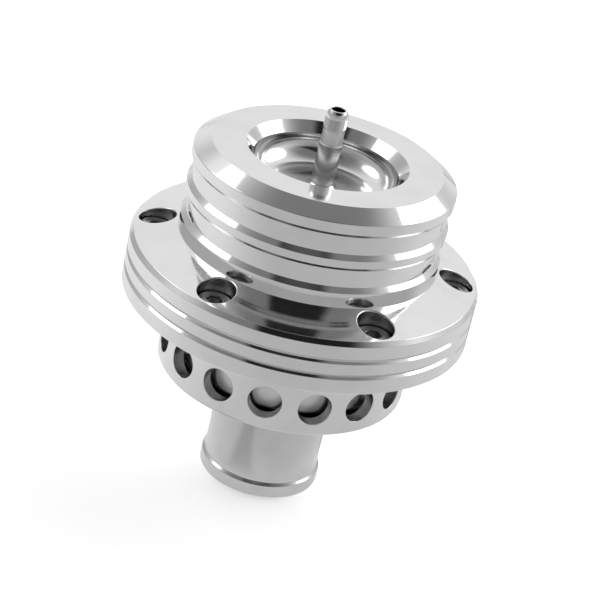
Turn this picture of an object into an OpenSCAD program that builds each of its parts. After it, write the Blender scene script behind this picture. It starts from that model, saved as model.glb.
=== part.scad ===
// Blow off valve: a grooved cover bolted to a vented body that stands on a hose spigot.
// A sprung piston, drawn up by a diaphragm, uncovers the ring of vent holes.
// Millimetres, +Z up. The origin is the centre of the spigot's open end.

/* [Inlet spigot] */
// Outside diameter of the hose neck
neck_d = 25; // [22:0.5:28]
// Wall of the hose neck
neck_wall = 2; // [1.5:0.1:3]
// Neck length from the open end to the spanner collar
neck_len = 21.5; // [16:0.5:40]
// How far the hose lip stands out from the neck
lip_out = 0.6; // [0.3:0.1:1.2]
// Height of the hose lip
lip_h = 3.4; // [2:0.1:6]
// Height of the hexagon spanner collar
collar_h = 3.4; // [2.5:0.1:6]
// Step from the neck out to the screw thread
thread_step = 1.5; // [1:0.1:2.2]
// Width of the flat land that the valve closes on
seat_land = 1.2; // [0.8:0.1:1.6]
// Height of the seat above the boss that the spigot screws into
seat_rise = 0.9; // [0.6:0.1:1.5]
// Section of the ring that seals the spigot
spigot_seal_cs = 1.5; // [1:0.1:2]

/* [Vented body] */
// Outside diameter of the body
body_d = 53.5; // [50:0.5:60]
// Wall round the vent holes
body_wall = 2.6; // [1.8:0.1:3.5]
// Thickness of the floor
floor_t = 2.1; // [1.6:0.1:3]
// Height of the threaded boss, from the underside
boss_h = 5.2; // [4.5:0.1:7]
// Wall of the boss round the spigot's thread
boss_wall = 3; // [2:0.1:3.2]
// Radius of the rounded lower edge
body_round = 0.9; // [0.4:0.1:1.4]
// Number of vent holes
vent_count = 16; // [8:1:18]
// Diameter of a vent hole
vent_d = 7; // [5:0.1:8]
// Height of the vents' lowest point above the floor
vent_sill = 0.8; // [0.4:0.1:2]
// Angle of the first vent hole from +X
vent_turn = -4.25; // [-11.25:0.25:11.25]
// Wall left between the vents and the piston's guide
vent_lintel = 1.4; // [1.2:0.1:3]
// Length of the piston's guide
guide_len = 8.1; // [7:0.1:14]
// Thickness of the body's flange
body_flange_t = 4.05; // [3.5:0.05:6]

/* [Cover] */
// Height of the flange's plain ring next to the parting line
flange_ring_low = 2.8; // [2:0.1:4]
// Height of the flange's upper ring
flange_ring_top = 3.2; // [2:0.1:5]
// Depth of the grooves round the flange
flange_groove = 0.7; // [0.4:0.05:0.9]
// Height of the chamfer on the flange's upper edge
flange_chamfer = 0.95; // [0.5:0.05:1.3]
// Width of the chamfer on the flange's upper edge
flange_chamfer_w = 0.75; // [0.5:0.05:1.3]
// Rise of the coned shoulder from the flange to the cap
shoulder_rise = 2.35; // [1:0.05:4]
// Metal left outside the screw counterbores
flange_lip = 1.4; // [1.2:0.1:3]
// Gap between the screw counterbores and the cap
cap_gap = 0.6; // [0.3:0.1:2]
// Height of the cap's lowest ring
cap_ring_low = 3.15; // [2:0.05:5]
// Height of the cap's middle ring
cap_ring_mid = 2.2; // [1.5:0.05:4]
// Height of the cap's top ring
cap_ring_top = 2.75; // [1.5:0.05:4]
// Depth of the two bands turned round the cap
cap_groove = 0.95; // [0.5:0.05:1.3]
// Width of the bevel round the cap's top
cap_bevel_w = 3.35; // [2:0.05:5]
// Height of the bevel round the cap's top
cap_bevel_h = 2.3; // [1.5:0.05:3]
// Wall of the cap round the spring
cap_wall = 5.25; // [4:0.05:6]
// Diameter of the recess in the cap's top
recess_d = 30.2; // [24:0.1:34]
// Depth of the recess
recess_depth = 7.45; // [5.5:0.05:9]
// Radius between the recess's wall and its floor
recess_round = 5; // [0.5:0.1:5.2]
// Width of the bevel round the recess
recess_bevel_w = 1.85; // [1:0.05:2.5]
// Height of the bevel round the recess
recess_bevel_h = 2.2; // [1:0.05:3]
// Thickness of the cap's roof under the recess
roof_t = 3.5; // [2.8:0.1:6]

/* [Cover screws] */
// Number of cover screws
screw_count = 6; // [4:1:8]
// Diameter of a screw's shank
screw_d = 4; // [3:0.5:4]
// Length of a screw below its head
screw_len = 6; // [5.5:0.5:6.5]
// Diameter of a screw's head
head_d = 7; // [6.5:0.1:7.2]
// Width of the hexagon socket across its flats
head_socket = 3; // [2:0.5:3]
// Width of the counterbore round a head, on the radius
head_gap = 0.3; // [0.2:0.05:0.6]
// Metal between the parting line and the heads' seats
head_web = 2.7; // [2.4:0.1:3]

/* [Vacuum nipple] */
// Outside diameter of the stem and of the head
nipple_d = 4.8; // [4:0.1:6]
// Diameter of the groove behind the head
nipple_neck_d = 4.2; // [3.6:0.1:4.4]
// Diameter of the air hole
nipple_bore = 2.8; // [2:0.1:3]
// Length above the recess's floor
nipple_len = 17.3; // [10:0.1:30]
// Length of the head
nipple_head_h = 4.3; // [3:0.1:5]
// Length of the groove behind the head
nipple_neck_h = 3.2; // [2:0.1:5]
// Diameter of the foot collar
nipple_foot_d = 6.2; // [6:0.1:8]
// Height of the foot collar
nipple_foot_h = 0.5; // [0.3:0.1:1]
// Diameter of the thread in the roof
nipple_thread_d = 5; // [4.6:0.1:5.5]
// Section of the ring under the foot
nipple_seal_cs = 0.9; // [0.7:0.1:1]

/* [Diaphragm] */
// Thickness of the rubber
dia_t = 1.2; // [0.8:0.1:1.6]
// Step from the piston's side in to the rolled fold
fold_step = 1.95; // [1.5:0.05:2.6]
// Width of the rolled fold
fold_w = 3.9; // [3.4:0.1:5]
// Height of the fold's straight sides
fold_rise = 1.5; // [0.5:0.1:2.5]
// Width of the clamped rim
rim_w = 3.7; // [3:0.1:5]
// Diameter of the bead on the rim
bead_d = 1.8; // [1.2:0.1:2]

/* [Piston and stem] */
// Space between the piston and the vented wall
piston_gap = 0.9; // [0.8:0.05:1.6]
// Wall of the piston's cup
piston_wall = 1.8; // [1.2:0.1:2.5]
// Thickness of the piston's web
web_t = 4; // [3:0.1:5]
// Gap between the piston's skirt and the floor
skirt_gap = 1; // [0.8:0.1:2]
// Radius of the skirt's rounded lower edge
skirt_round = 0.7; // [0.3:0.05:0.9]
// Diameter of the piston's hub
hub_d = 12; // [10.6:0.1:16]
// Thickness of the plate under the diaphragm
plate_t = 1.5; // [1:0.1:2]
// Diameter of the stem
stem_d = 6; // [5:0.5:6]
// Diameter of the stem bolt's head
stem_head_d = 10; // [9:0.5:12]
// Height of the stem bolt's head
stem_head_h = 3.3; // [2.5:0.1:4]
// Width of the stem bolt's socket across its flats
stem_socket = 4; // [3:0.5:5]
// Thickness of the valve's face seal
face_seal_t = 2.5; // [2.2:0.1:3.5]
// Thickness of the disc that holds the face seal
retainer_t = 1.5; // [1:0.1:2.5]
// Section of the ring that seals the stem
stem_seal_cs = 1.6; // [1:0.1:1.8]
// Wall of the piston's guide ring
guide_ring_t = 1.5; // [1:0.1:2]
// Height of the guide ring
guide_ring_h = 3.8; // [2:0.1:5]
// Width of the nut across its flats
nut_af = 10; // [9:0.5:11]
// Height of the nut
nut_h = 5; // [4:0.5:6]
// Diameter of the washer under the nut
washer_d = 12; // [11.8:0.1:14]
// Thickness of the washer under the nut
washer_t = 1; // [0.8:0.1:1.6]
// Length of the stem past the nut
stem_end = 1.5; // [1:0.1:2.5]

/* [Return spring] */
// Diameter of the spring's wire
wire_d = 1.8; // [1.4:0.1:2]
// Number of turns, with the closed ones
spring_turns = 4.5; // [4:0.5:5]
// Length of the spring as fitted
spring_len = 17.2; // [15.5:0.1:22]
// Thickness of the pad above the spring
pad_t = 1.2; // [0.8:0.1:2]
// Depth of the pad's seat in the roof
pad_seat = 0.4; // [0.2:0.05:0.6]
// Thickness of the spring cup's flange
cup_t = 1.5; // [1:0.1:2.5]
// Height of the rim that centres the spring
cup_rim_h = 2; // [1:0.1:3]
// Wall of the rim that centres the spring
cup_rim_t = 1.5; // [1:0.1:2]

/* [Clearances] */
// Radial gap of a screwed or slipped-in piece
fit = 0.05; // [0.03:0.01:0.1]
// Radial gap between the piston and its guide ring
slide_fit = 0.05; // [0.03:0.01:0.1]
// Radial gap round a shank in a plain hole
shank_gap = 0.2; // [0.1:0.05:0.25]
// Radial gap between the piston and the body's guide
guide_gap = 0.45; // [0.3:0.05:0.6]
// Gap between the closed valve and its seat
seat_gap = 0.05; // [0.03:0.01:0.1]
// Gap round pieces that move inside the cover
room = 0.4; // [0.3:0.05:0.6]

/* [Hidden] */
$fn = 96;

// Cutters pass through faces by this much
eps = 0.01;
// Small chamfer that takes the sharpness off turned edges
edge = 0.3;

// Radii of the spigot
neck_r = neck_d / 2;
bore_r = neck_r - neck_wall;
lip_r = neck_r + lip_out;
thread_r = neck_r + thread_step;
spigot_seal_r = thread_r + spigot_seal_cs / 2;
collar_r = thread_r + spigot_seal_cs + 2 * fit + edge;
seat_in_r = bore_r + 0.5 * seat_land;
seat_out_r = seat_in_r + seat_land;

// Radii from the body's wall in to the piston
body_r = body_d / 2;
wall_r = body_r - body_wall;
piston_r = wall_r - piston_gap;
skirt_r = piston_r - piston_wall;
guide_r = piston_r + guide_gap;
guide_ring_in_r = piston_r + slide_fit;
guide_ring_out_r = guide_ring_in_r + guide_ring_t;
boss_r = thread_r + boss_wall;
stem_r = stem_d / 2;
stem_hole_r = stem_r + shank_gap / 2;
face_seal_r = seat_out_r + 1.5 * seat_land;
retainer_r = seat_in_r - 1.5 * seat_land;
stem_seal_r = stem_r + stem_seal_cs / 2;

// Radii from the diaphragm's fold out to the flange
fold_in_r = piston_r - fold_step;
fold_out_r = fold_in_r + fold_w;
fold_mid_r = (fold_in_r + fold_out_r) / 2;
chamber_r = fold_out_r + room;
rim_r = chamber_r + rim_w;
bead_r = rim_r - bead_d / 2;
screw_r = screw_d / 2;
screw_hole_r = screw_r + shank_gap;
screw_ring_r = rim_r + edge + screw_hole_r;
counterbore_r = head_d / 2 + head_gap;
flange_r = screw_ring_r + counterbore_r + flange_lip;
cap_r = screw_ring_r - counterbore_r - cap_gap;
cap_neck_r = cap_r - cap_groove;
spring_room_r = cap_neck_r - cap_wall;
recess_r = recess_d / 2;
nipple_r = nipple_d / 2;
nipple_thread_r = nipple_thread_d / 2;
nipple_relief_r = nipple_foot_d / 2 - nipple_seal_cs - edge;
nipple_seal_r = nipple_relief_r + nipple_seal_cs / 2;

// Radii of the spring and of what holds it
cup_r = spring_room_r - 3 * room;
cup_rim_out_r = cup_r - cup_t;
cup_rim_in_r = cup_rim_out_r - cup_rim_t;
coil_r = cup_rim_in_r - room - wire_d / 2;
pad_in_r = coil_r - wire_d;
pad_out_r = coil_r + wire_d;
plate_r = fold_in_r;

// Heights of the spigot, the body and its vents
z_body = neck_len + collar_h;
z_floor = z_body + floor_t;
z_boss = z_body + boss_h;
z_seat = z_boss + seat_rise;
z_vent = z_floor + vent_sill + vent_d / 2;
z_guide = z_vent + vent_d / 2 + vent_lintel;
z_rim = z_guide + guide_len;
z_part = z_rim + dia_t;
z_flange = z_part - body_flange_t;
z_guide_ring = (z_guide + z_rim - guide_ring_h) / 2;

// Heights of the piston and of the stack on its stem
z_face = z_seat + seat_gap;
z_skirt = z_floor + skirt_gap;
seal_proud = face_seal_t / 5;
z_web = z_face + seal_proud;
z_pocket = z_face + face_seal_t;
z_web_top = z_web + web_t;
z_plate = z_rim - plate_t;
z_cup = z_part + cup_t;
z_nut = z_cup + washer_t;
z_stem_top = z_nut + nut_h + stem_end;
z_retainer = z_face - retainer_t;
z_stem = z_retainer - stem_head_h;

// Heights of the cover
z_shoulder = z_part + flange_ring_low + flange_groove + flange_ring_top + flange_chamfer;
z_cap = z_shoulder + shoulder_rise;
z_pad = z_cup + spring_len;
z_roof = z_pad + pad_t - pad_seat;
z_recess = z_roof + roof_t;
z_top = z_recess + recess_depth;
z_head = z_part + head_web;
head_h = screw_d;
cap_rings_h = cap_ring_low + cap_ring_mid + cap_ring_top;
cap_band_h = (z_top - z_cap - cap_rings_h - cap_bevel_h) / 2;
z_ring_mid = z_cap + cap_ring_low + cap_band_h;
z_ring_top = z_ring_mid + cap_ring_mid + cap_band_h;
z_bevel = z_ring_top + cap_ring_top;
z_nipple = z_recess + nipple_len;
// Height at which the cover's inside starts to close in above the lifted diaphragm
z_chamber = z_part + spring_len / 2;

// A turned piece, from the points of its half section
module turned(points) {
    rotate_extrude() polygon(points);
}

// A straight round bar about the axis
module bar(r, low, high) {
    translate([0, 0, low]) cylinder(r = r, h = high - low);
}

// A flat ring about the axis
module ring(out_r, in_r, low, high) {
    difference() {
        bar(out_r, low, high);
        bar(in_r, low - eps, high + eps);
    }
}

// A rubber ring of round section
module o_ring(mid_r, section, height) {
    translate([0, 0, height]) rotate_extrude() translate([mid_r, 0]) circle(d = section);
}

// A hexagon bar by its width across flats
module hexagon(across, low, high) {
    translate([0, 0, low]) cylinder(d = across / cos(30), h = high - low, $fn = 6);
}

// Copies set evenly round the axis
module around(count, radius, turn = 0) {
    for (k = [0 : count - 1]) {
        rotate([0, 0, turn + k * 360 / count]) translate([radius, 0, 0]) children();
    }
}

// What rounds off a corner of a half section; inward points into the section on each axis
module corner_waste(corner, radius, inward) {
    difference() {
        translate(corner + inward * radius / 2) square(radius, center = true);
        translate(corner + inward * radius) circle(r = radius);
    }
}

// What is turned out of the cap's top: a bevelled mouth, a wall with a rounded foot and a flat floor
module recess() {
    mouth_r = recess_r + recess_bevel_w;
    section = [
        [0, z_recess],
        [recess_r, z_recess],
        [recess_r, z_top - recess_bevel_h],
        [mouth_r, z_top],
        [mouth_r, z_top + eps],
        [0, z_top + eps]
    ];
    rotate_extrude() difference() {
        polygon(section);
        corner_waste([recess_r, z_recess], recess_round, [-1, 1]);
    }
}

// Grooved cap, coned shoulder and upper flange, turned from one bar
module upper_cover() {
    groove_z = z_part + flange_ring_low;
    section = [
        [chamber_r, z_part],
        [flange_r, z_part],
        [flange_r, groove_z],
        [flange_r - flange_groove, groove_z + flange_groove],
        [flange_r, groove_z + flange_groove],
        [flange_r, z_shoulder - flange_chamfer],
        [flange_r - flange_chamfer_w, z_shoulder],
        [cap_r, z_cap],
        [cap_r, z_cap + cap_ring_low],
        [cap_neck_r, z_cap + cap_ring_low + cap_groove],
        [cap_neck_r, z_ring_mid],
        [cap_r, z_ring_mid],
        [cap_r, z_ring_mid + cap_ring_mid],
        [cap_neck_r, z_ring_mid + cap_ring_mid + cap_groove],
        [cap_neck_r, z_ring_top],
        [cap_r, z_ring_top],
        [cap_r, z_bevel],
        [cap_r - cap_bevel_w, z_top],
        [nipple_thread_r + fit, z_top],
        [nipple_thread_r + fit, z_roof],
        [spring_room_r, z_roof],
        [spring_room_r, z_chamber + chamber_r - spring_room_r],
        [chamber_r, z_chamber]
    ];
    color("gainsboro") difference() {
        turned(section);
        recess();
        bar(nipple_seal_r + nipple_seal_cs / 2 + fit, z_recess - nipple_seal_cs, z_recess + eps);
        ring(pad_out_r + fit, pad_in_r - fit, z_roof - eps, z_roof + pad_seat);
        around(screw_count, screw_ring_r) {
            bar(counterbore_r, z_head, z_cap + eps);
            bar(screw_hole_r, z_part - eps, z_head + eps);
        }
    }
}

// Hose nipple screwed into the roof
module vacuum_nipple() {
    neck_z = z_nipple - nipple_head_h - nipple_neck_h;
    foot_z = z_recess + nipple_foot_h;
    foot_r = nipple_foot_d / 2;
    section = [
        [nipple_bore / 2, z_roof],
        [nipple_thread_r - edge, z_roof],
        [nipple_thread_r, z_roof + edge],
        [nipple_thread_r, z_recess - nipple_seal_cs],
        [nipple_relief_r, z_recess - nipple_seal_cs],
        [nipple_relief_r, z_recess],
        [foot_r, z_recess],
        [foot_r, foot_z],
        [nipple_r, foot_z + foot_r - nipple_r],
        [nipple_r, neck_z],
        [nipple_neck_d / 2, neck_z + edge],
        [nipple_neck_d / 2, z_nipple - nipple_head_h],
        [nipple_r, z_nipple - nipple_head_h],
        [nipple_r, z_nipple - 3 * edge],
        [nipple_r - 2 * edge, z_nipple],
        [nipple_bore / 2, z_nipple]
    ];
    color("lightgray") turned(section);
}

// Small ring squeezed under the nipple's foot
module nipple_seal() {
    color("dimgray") o_ring(nipple_seal_r, nipple_seal_cs, z_recess - nipple_seal_cs / 2);
}

// Socket head screws that hold the cover to the body
module cover_screws() {
    color("slategray") around(screw_count, screw_ring_r) difference() {
        union() {
            bar(screw_r, z_head - screw_len, z_head);
            bar(head_d / 2, z_head, z_head + head_h - edge);
            translate([0, 0, z_head + head_h - edge])
                cylinder(r1 = head_d / 2, r2 = head_d / 2 - edge, h = edge);
        }
        hexagon(head_socket, z_head + head_h / 2, z_head + head_h + eps);
    }
}

// Body with the ring of vents, the piston's guide and the lower flange
module vent_body() {
    section = [
        [thread_r + fit, z_body + spigot_seal_cs],
        [thread_r + spigot_seal_cs + fit, z_body + spigot_seal_cs],
        [thread_r + spigot_seal_cs + fit, z_body],
        [body_r, z_body],
        [body_r, z_flange],
        [flange_r - edge, z_flange],
        [flange_r, z_flange + edge],
        [flange_r, z_part - flange_groove],
        [flange_r - flange_groove, z_part],
        [rim_r + fit, z_part],
        [rim_r + fit, z_rim],
        [guide_r, z_rim],
        [guide_r, z_guide],
        [wall_r, z_guide - wall_r + guide_r],
        [wall_r, z_floor],
        [boss_r + z_boss - z_floor, z_floor],
        [boss_r, z_boss],
        [thread_r + fit, z_boss]
    ];
    color("silver") difference() {
        rotate_extrude() difference() {
            polygon(section);
            corner_waste([body_r, z_body], body_round, [-1, 1]);
        }
        ring(guide_ring_out_r + fit, guide_r - edge, z_guide_ring - fit, z_guide_ring + guide_ring_h + fit);
        o_ring(bead_r, bead_d + 2 * fit, z_rim);
        around(screw_count, screw_ring_r) bar(screw_r + fit, z_flange - eps, z_part + eps);
        around(vent_count, wall_r - edge, vent_turn) translate([0, 0, z_vent]) rotate([0, 90, 0])
            cylinder(d = vent_d, h = body_wall + 2 * edge);
    }
}

// Plastic ring that the piston slides in
module guide_ring() {
    color("whitesmoke") ring(guide_ring_out_r, guide_ring_in_r, z_guide_ring, z_guide_ring + guide_ring_h);
}

// Hose spigot with its spanner collar, thread and valve seat
module inlet_spigot() {
    section = [
        [bore_r + edge, 0],
        [lip_r - edge, 0],
        [lip_r, edge],
        [lip_r, lip_h - lip_out],
        [neck_r, lip_h],
        [neck_r, z_body],
        [thread_r, z_body],
        [thread_r, z_boss - edge],
        [thread_r - edge, z_boss],
        [seat_out_r, z_boss],
        [seat_out_r, z_seat],
        [seat_in_r, z_seat],
        [bore_r, z_seat - seat_in_r + bore_r],
        [bore_r, edge]
    ];
    collar = [
        [neck_r - edge, neck_len],
        [collar_r, neck_len],
        [collar_r / cos(30), neck_len + (collar_r / cos(30) - collar_r) / 2],
        [collar_r / cos(30), z_body],
        [neck_r - edge, z_body]
    ];
    color("darkgray") union() {
        turned(section);
        intersection() {
            turned(collar);
            hexagon(2 * collar_r, neck_len, z_body);
        }
    }
}

// Ring that seals the spigot's collar against the body
module spigot_seal() {
    color("dimgray") o_ring(spigot_seal_r + fit / 2, spigot_seal_cs, z_body + spigot_seal_cs / 2);
}

// Rubber diaphragm with a rolled fold and a beaded rim
module diaphragm() {
    fold_r = fold_w / 2;
    color("darkslategray") rotate_extrude() union() {
        translate([stem_hole_r, z_rim]) square([fold_in_r + dia_t - stem_hole_r, dia_t]);
        translate([fold_out_r - dia_t, z_rim]) square([rim_r - fold_out_r + dia_t, dia_t]);
        translate([fold_in_r, z_rim]) square([dia_t, dia_t + fold_rise]);
        translate([fold_out_r - dia_t, z_rim]) square([dia_t, dia_t + fold_rise]);
        translate([fold_mid_r, z_rim + dia_t + fold_rise]) intersection() {
            difference() {
                circle(r = fold_r);
                circle(r = fold_r - dia_t);
            }
            translate([-fold_r, 0]) square([fold_w, fold_r]);
        }
        translate([bead_r, z_rim]) circle(d = bead_d);
    }
}

// Height of the wire's centre after a number of turns, with one closed turn at each end
spring_grind = wire_d / 5;
coil_rise = spring_len - wire_d + 2 * spring_grind;
closed_rise = wire_d * 1.08;
open_rise = (coil_rise - 2 * closed_rise) / (spring_turns - 2);
function wire_z(turn) =
    turn < 1 ? turn * closed_rise
    : turn > spring_turns - 1 ? coil_rise - (spring_turns - turn) * closed_rise
    : closed_rise + (turn - 1) * open_rise;

// Compression spring with closed and ground ends
module return_spring() {
    sides = 10;
    steps = 28 * spring_turns;
    points = [
        for (i = [0 : steps], j = [0 : sides - 1])
            let (turn = i / steps * spring_turns, a = 360 * turn, b = 360 * j / sides)
                [
                    (coil_r + wire_d / 2 * cos(b)) * cos(a),
                    (coil_r + wire_d / 2 * cos(b)) * sin(a),
                    wire_z(turn) + wire_d / 2 * sin(b)
                ]
    ];
    walls = [
        for (i = [0 : steps - 1], j = [0 : sides - 1])
            let (next = (j + 1) % sides)
                [i * sides + j, (i + 1) * sides + j, (i + 1) * sides + next, i * sides + next]
    ];
    start = [for (j = [0 : sides - 1]) j];
    finish = [for (j = [sides - 1 : -1 : 0]) steps * sides + j];
    reach = 2 * (coil_r + wire_d);
    color("steelblue") intersection() {
        translate([0, 0, z_cup + wire_d / 2 - spring_grind])
            polyhedron(points = points, faces = concat(walls, [start, finish]), convexity = 6);
        translate([-reach / 2, -reach / 2, z_cup]) cube([reach, reach, spring_len]);
    }
}

// Slippery pad that lets the spring turn against the roof
module spring_pad() {
    color("ivory") ring(pad_out_r, pad_in_r, z_pad, z_pad + pad_t);
}

// Flanged cup that clamps the diaphragm and centres the spring
module spring_cup() {
    section = [
        [stem_hole_r, z_part],
        [cup_r - edge, z_part],
        [cup_r, z_part + edge],
        [cup_r, z_cup],
        [cup_rim_out_r, z_cup],
        [cup_rim_out_r, z_cup + cup_rim_h],
        [cup_rim_in_r + edge, z_cup + cup_rim_h],
        [cup_rim_in_r, z_cup + cup_rim_h - edge],
        [cup_rim_in_r, z_cup],
        [stem_hole_r, z_cup]
    ];
    color("silver") turned(section);
}

// Washer under the stem's nut
module stem_washer() {
    color("lightsteelblue") ring(washer_d / 2, stem_hole_r, z_cup, z_nut);
}

// Nut that clamps the stack on the stem
module stem_nut() {
    color("lightsteelblue") difference() {
        hexagon(nut_af, z_nut, z_nut + nut_h);
        bar(stem_r + fit, z_nut - eps, z_nut + nut_h + eps);
    }
}

// Plate that backs the diaphragm from below
module diaphragm_plate() {
    section = [
        [stem_hole_r, z_plate],
        [plate_r, z_plate],
        [plate_r, z_rim - edge],
        [plate_r - edge, z_rim],
        [stem_hole_r, z_rim]
    ];
    color("silver") turned(section);
}

// Cup that closes the inlet and slides behind the vents
module valve_piston() {
    hub_r = hub_d / 2;
    section = [
        [stem_hole_r, z_pocket],
        [face_seal_r + fit, z_pocket],
        [face_seal_r + fit, z_web],
        [skirt_r, z_web],
        [skirt_r, z_skirt],
        [piston_r, z_skirt],
        [piston_r, z_plate],
        [skirt_r, z_plate],
        [skirt_r, z_web_top + edge],
        [skirt_r - edge, z_web_top],
        [hub_r, z_web_top],
        [hub_r, z_plate],
        [stem_hole_r, z_plate]
    ];
    color("gainsboro") difference() {
        rotate_extrude() difference() {
            polygon(section);
            corner_waste([piston_r, z_skirt], skirt_round, [-1, 1]);
        }
        bar(stem_seal_r + stem_seal_cs / 2 + fit, z_pocket - eps, z_pocket + stem_seal_cs);
    }
}

// Rubber washer that closes on the seat
module face_seal() {
    color("dimgray") ring(face_seal_r, stem_seal_r + stem_seal_cs, z_face, z_pocket);
}

// Stepped disc that holds the face seal and carries the bolt's head
module seal_retainer() {
    spacer_r = stem_seal_r + stem_seal_cs - fit;
    section = [
        [stem_hole_r, z_retainer],
        [retainer_r - edge, z_retainer],
        [retainer_r, z_retainer + edge],
        [retainer_r, z_face],
        [spacer_r, z_face],
        [spacer_r, z_pocket],
        [stem_hole_r, z_pocket]
    ];
    color("silver") turned(section);
}

// Ring that seals the piston's bore round the stem
module stem_seal() {
    color("dimgray") o_ring(stem_seal_r + fit / 2, stem_seal_cs, z_pocket + stem_seal_cs / 2);
}

// Bolt that holds the piston, the diaphragm and the spring cup together
module stem_bolt() {
    head_r = stem_head_d / 2;
    section = [
        [0, z_stem],
        [head_r - 2 * edge, z_stem],
        [head_r, z_stem + 2 * edge],
        [head_r, z_retainer],
        [stem_r, z_retainer],
        [stem_r, z_stem_top - edge],
        [stem_r - edge, z_stem_top],
        [0, z_stem_top]
    ];
    color("slategray") difference() {
        turned(section);
        hexagon(stem_socket, z_stem - eps, z_stem + 0.6 * stem_head_h);
    }
}

upper_cover();
vacuum_nipple();
nipple_seal();
cover_screws();
vent_body();
guide_ring();
inlet_spigot();
spigot_seal();
diaphragm();
return_spring();
spring_pad();
spring_cup();
stem_washer();
stem_nut();
diaphragm_plate();
valve_piston();
face_seal();
seal_retainer();
stem_seal();
stem_bolt();
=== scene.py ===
"""Looks of the blow off valve: fine turned skins, finishes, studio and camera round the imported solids.

Sizes are in millimetres until a skin becomes a mesh. The part's frame is used throughout: +Z up the
valve's axis, the origin at the centre of the spigot's open end, one cover screw on +X.
"""

from __future__ import annotations

import functools
import logging
import math
from dataclasses import dataclass, field
from enum import Enum
from typing import Any, Iterator, Sequence, Union

import bmesh
import bpy
import numpy as np
from mathutils import Matrix, Vector

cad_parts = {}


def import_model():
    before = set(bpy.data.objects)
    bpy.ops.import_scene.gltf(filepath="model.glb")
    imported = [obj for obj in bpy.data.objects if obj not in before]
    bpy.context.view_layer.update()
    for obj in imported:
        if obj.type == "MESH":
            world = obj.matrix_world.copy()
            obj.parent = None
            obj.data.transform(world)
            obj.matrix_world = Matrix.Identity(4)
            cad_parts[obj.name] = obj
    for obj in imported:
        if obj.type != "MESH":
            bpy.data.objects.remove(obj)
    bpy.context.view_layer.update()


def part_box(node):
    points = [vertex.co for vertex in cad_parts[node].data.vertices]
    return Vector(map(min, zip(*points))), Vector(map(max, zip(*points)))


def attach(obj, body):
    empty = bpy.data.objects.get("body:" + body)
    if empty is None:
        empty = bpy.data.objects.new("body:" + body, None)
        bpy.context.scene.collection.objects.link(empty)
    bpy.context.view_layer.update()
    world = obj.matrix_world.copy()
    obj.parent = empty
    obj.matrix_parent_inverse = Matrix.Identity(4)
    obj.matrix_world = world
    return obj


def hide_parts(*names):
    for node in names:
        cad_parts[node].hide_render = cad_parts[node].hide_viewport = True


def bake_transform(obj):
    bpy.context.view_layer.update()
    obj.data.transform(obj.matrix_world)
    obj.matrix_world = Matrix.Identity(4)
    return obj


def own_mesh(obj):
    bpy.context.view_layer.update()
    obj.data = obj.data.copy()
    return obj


LOG = logging.getLogger("blow_off_valve")
Array = np.ndarray
Pair = tuple[float, float]
Corner = Union[tuple[float, float, float], tuple[float, float, float, str]]

MM = 0.001
TURN = 2.0 * math.pi
UP = np.array([0.0, 0.0, 1.0])
# Quads round a large turned skin: a whole number for each cover screw and for each vent
AROUND = 240
# Quads round a small turned skin
AROUND_SMALL = 96
# Quads along each end of a hole's share of its face
SIDE = 12
# Rows of points from a hole's rim to the end of its share, and over its rounded edge
FACE_ROWS = 9
EDGE_ROWS = 5
# Rows of points in each pitch of a thread, and the thread's depth as a share of the pitch
THREAD_ROWS = 8
THREAD_DEPTH = 0.6
# Points nearer than this, in metres, are welded
WELD = 1e-6
# Edge radius of a corner as it was cut, of one that is just broken and of one that is rounded over
SHARP = 0.05
BROKEN = 0.1
ROUNDED = 0.3
# Gap between two pieces that fit into each other
FIT = 0.05
# Attribute of the faces that are darker and rougher, such as those left as the tool cut them
RAW = "darker_and_rougher"


class Body(Enum):
    """The two bodies of the frame."""

    HOUSING = "housing"
    VALVE = "valve"


class Drill(Enum):
    """Which way a ring of holes is drilled."""

    ALONG = "along the axis"
    ACROSS = "across the axis"


def polar(radius: Array | float, angle: Array, height: Array | float) -> Array:
    """Points at a radius, an angle and a height: (r cos a, r sin a, z)."""
    return np.stack([radius * np.cos(angle), radius * np.sin(angle), height + 0.0 * angle], -1)


def revolve(rows: Array, angle: Array) -> Array:
    """Carries points of a half section round the axis.

    Args:
        rows: Radius and height of each point, or of each direction.
        angle: Angles round the axis, in radians.

    Returns:
        A grid with a row for each point and a column for each angle.
    """
    return polar(rows[:, :1], angle, rows[:, 1:])


def unit(vectors: Array) -> Array:
    """Scales vectors to a length of one."""
    return vectors / np.maximum(np.linalg.norm(vectors, axis=-1, keepdims=True), 1e-12)


def slopes(points: Array) -> Array:
    """Normals of a grid, as the cross product of its row and column differences."""
    return unit(np.cross(np.gradient(points, axis=1), np.gradient(points, axis=0)))


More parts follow.
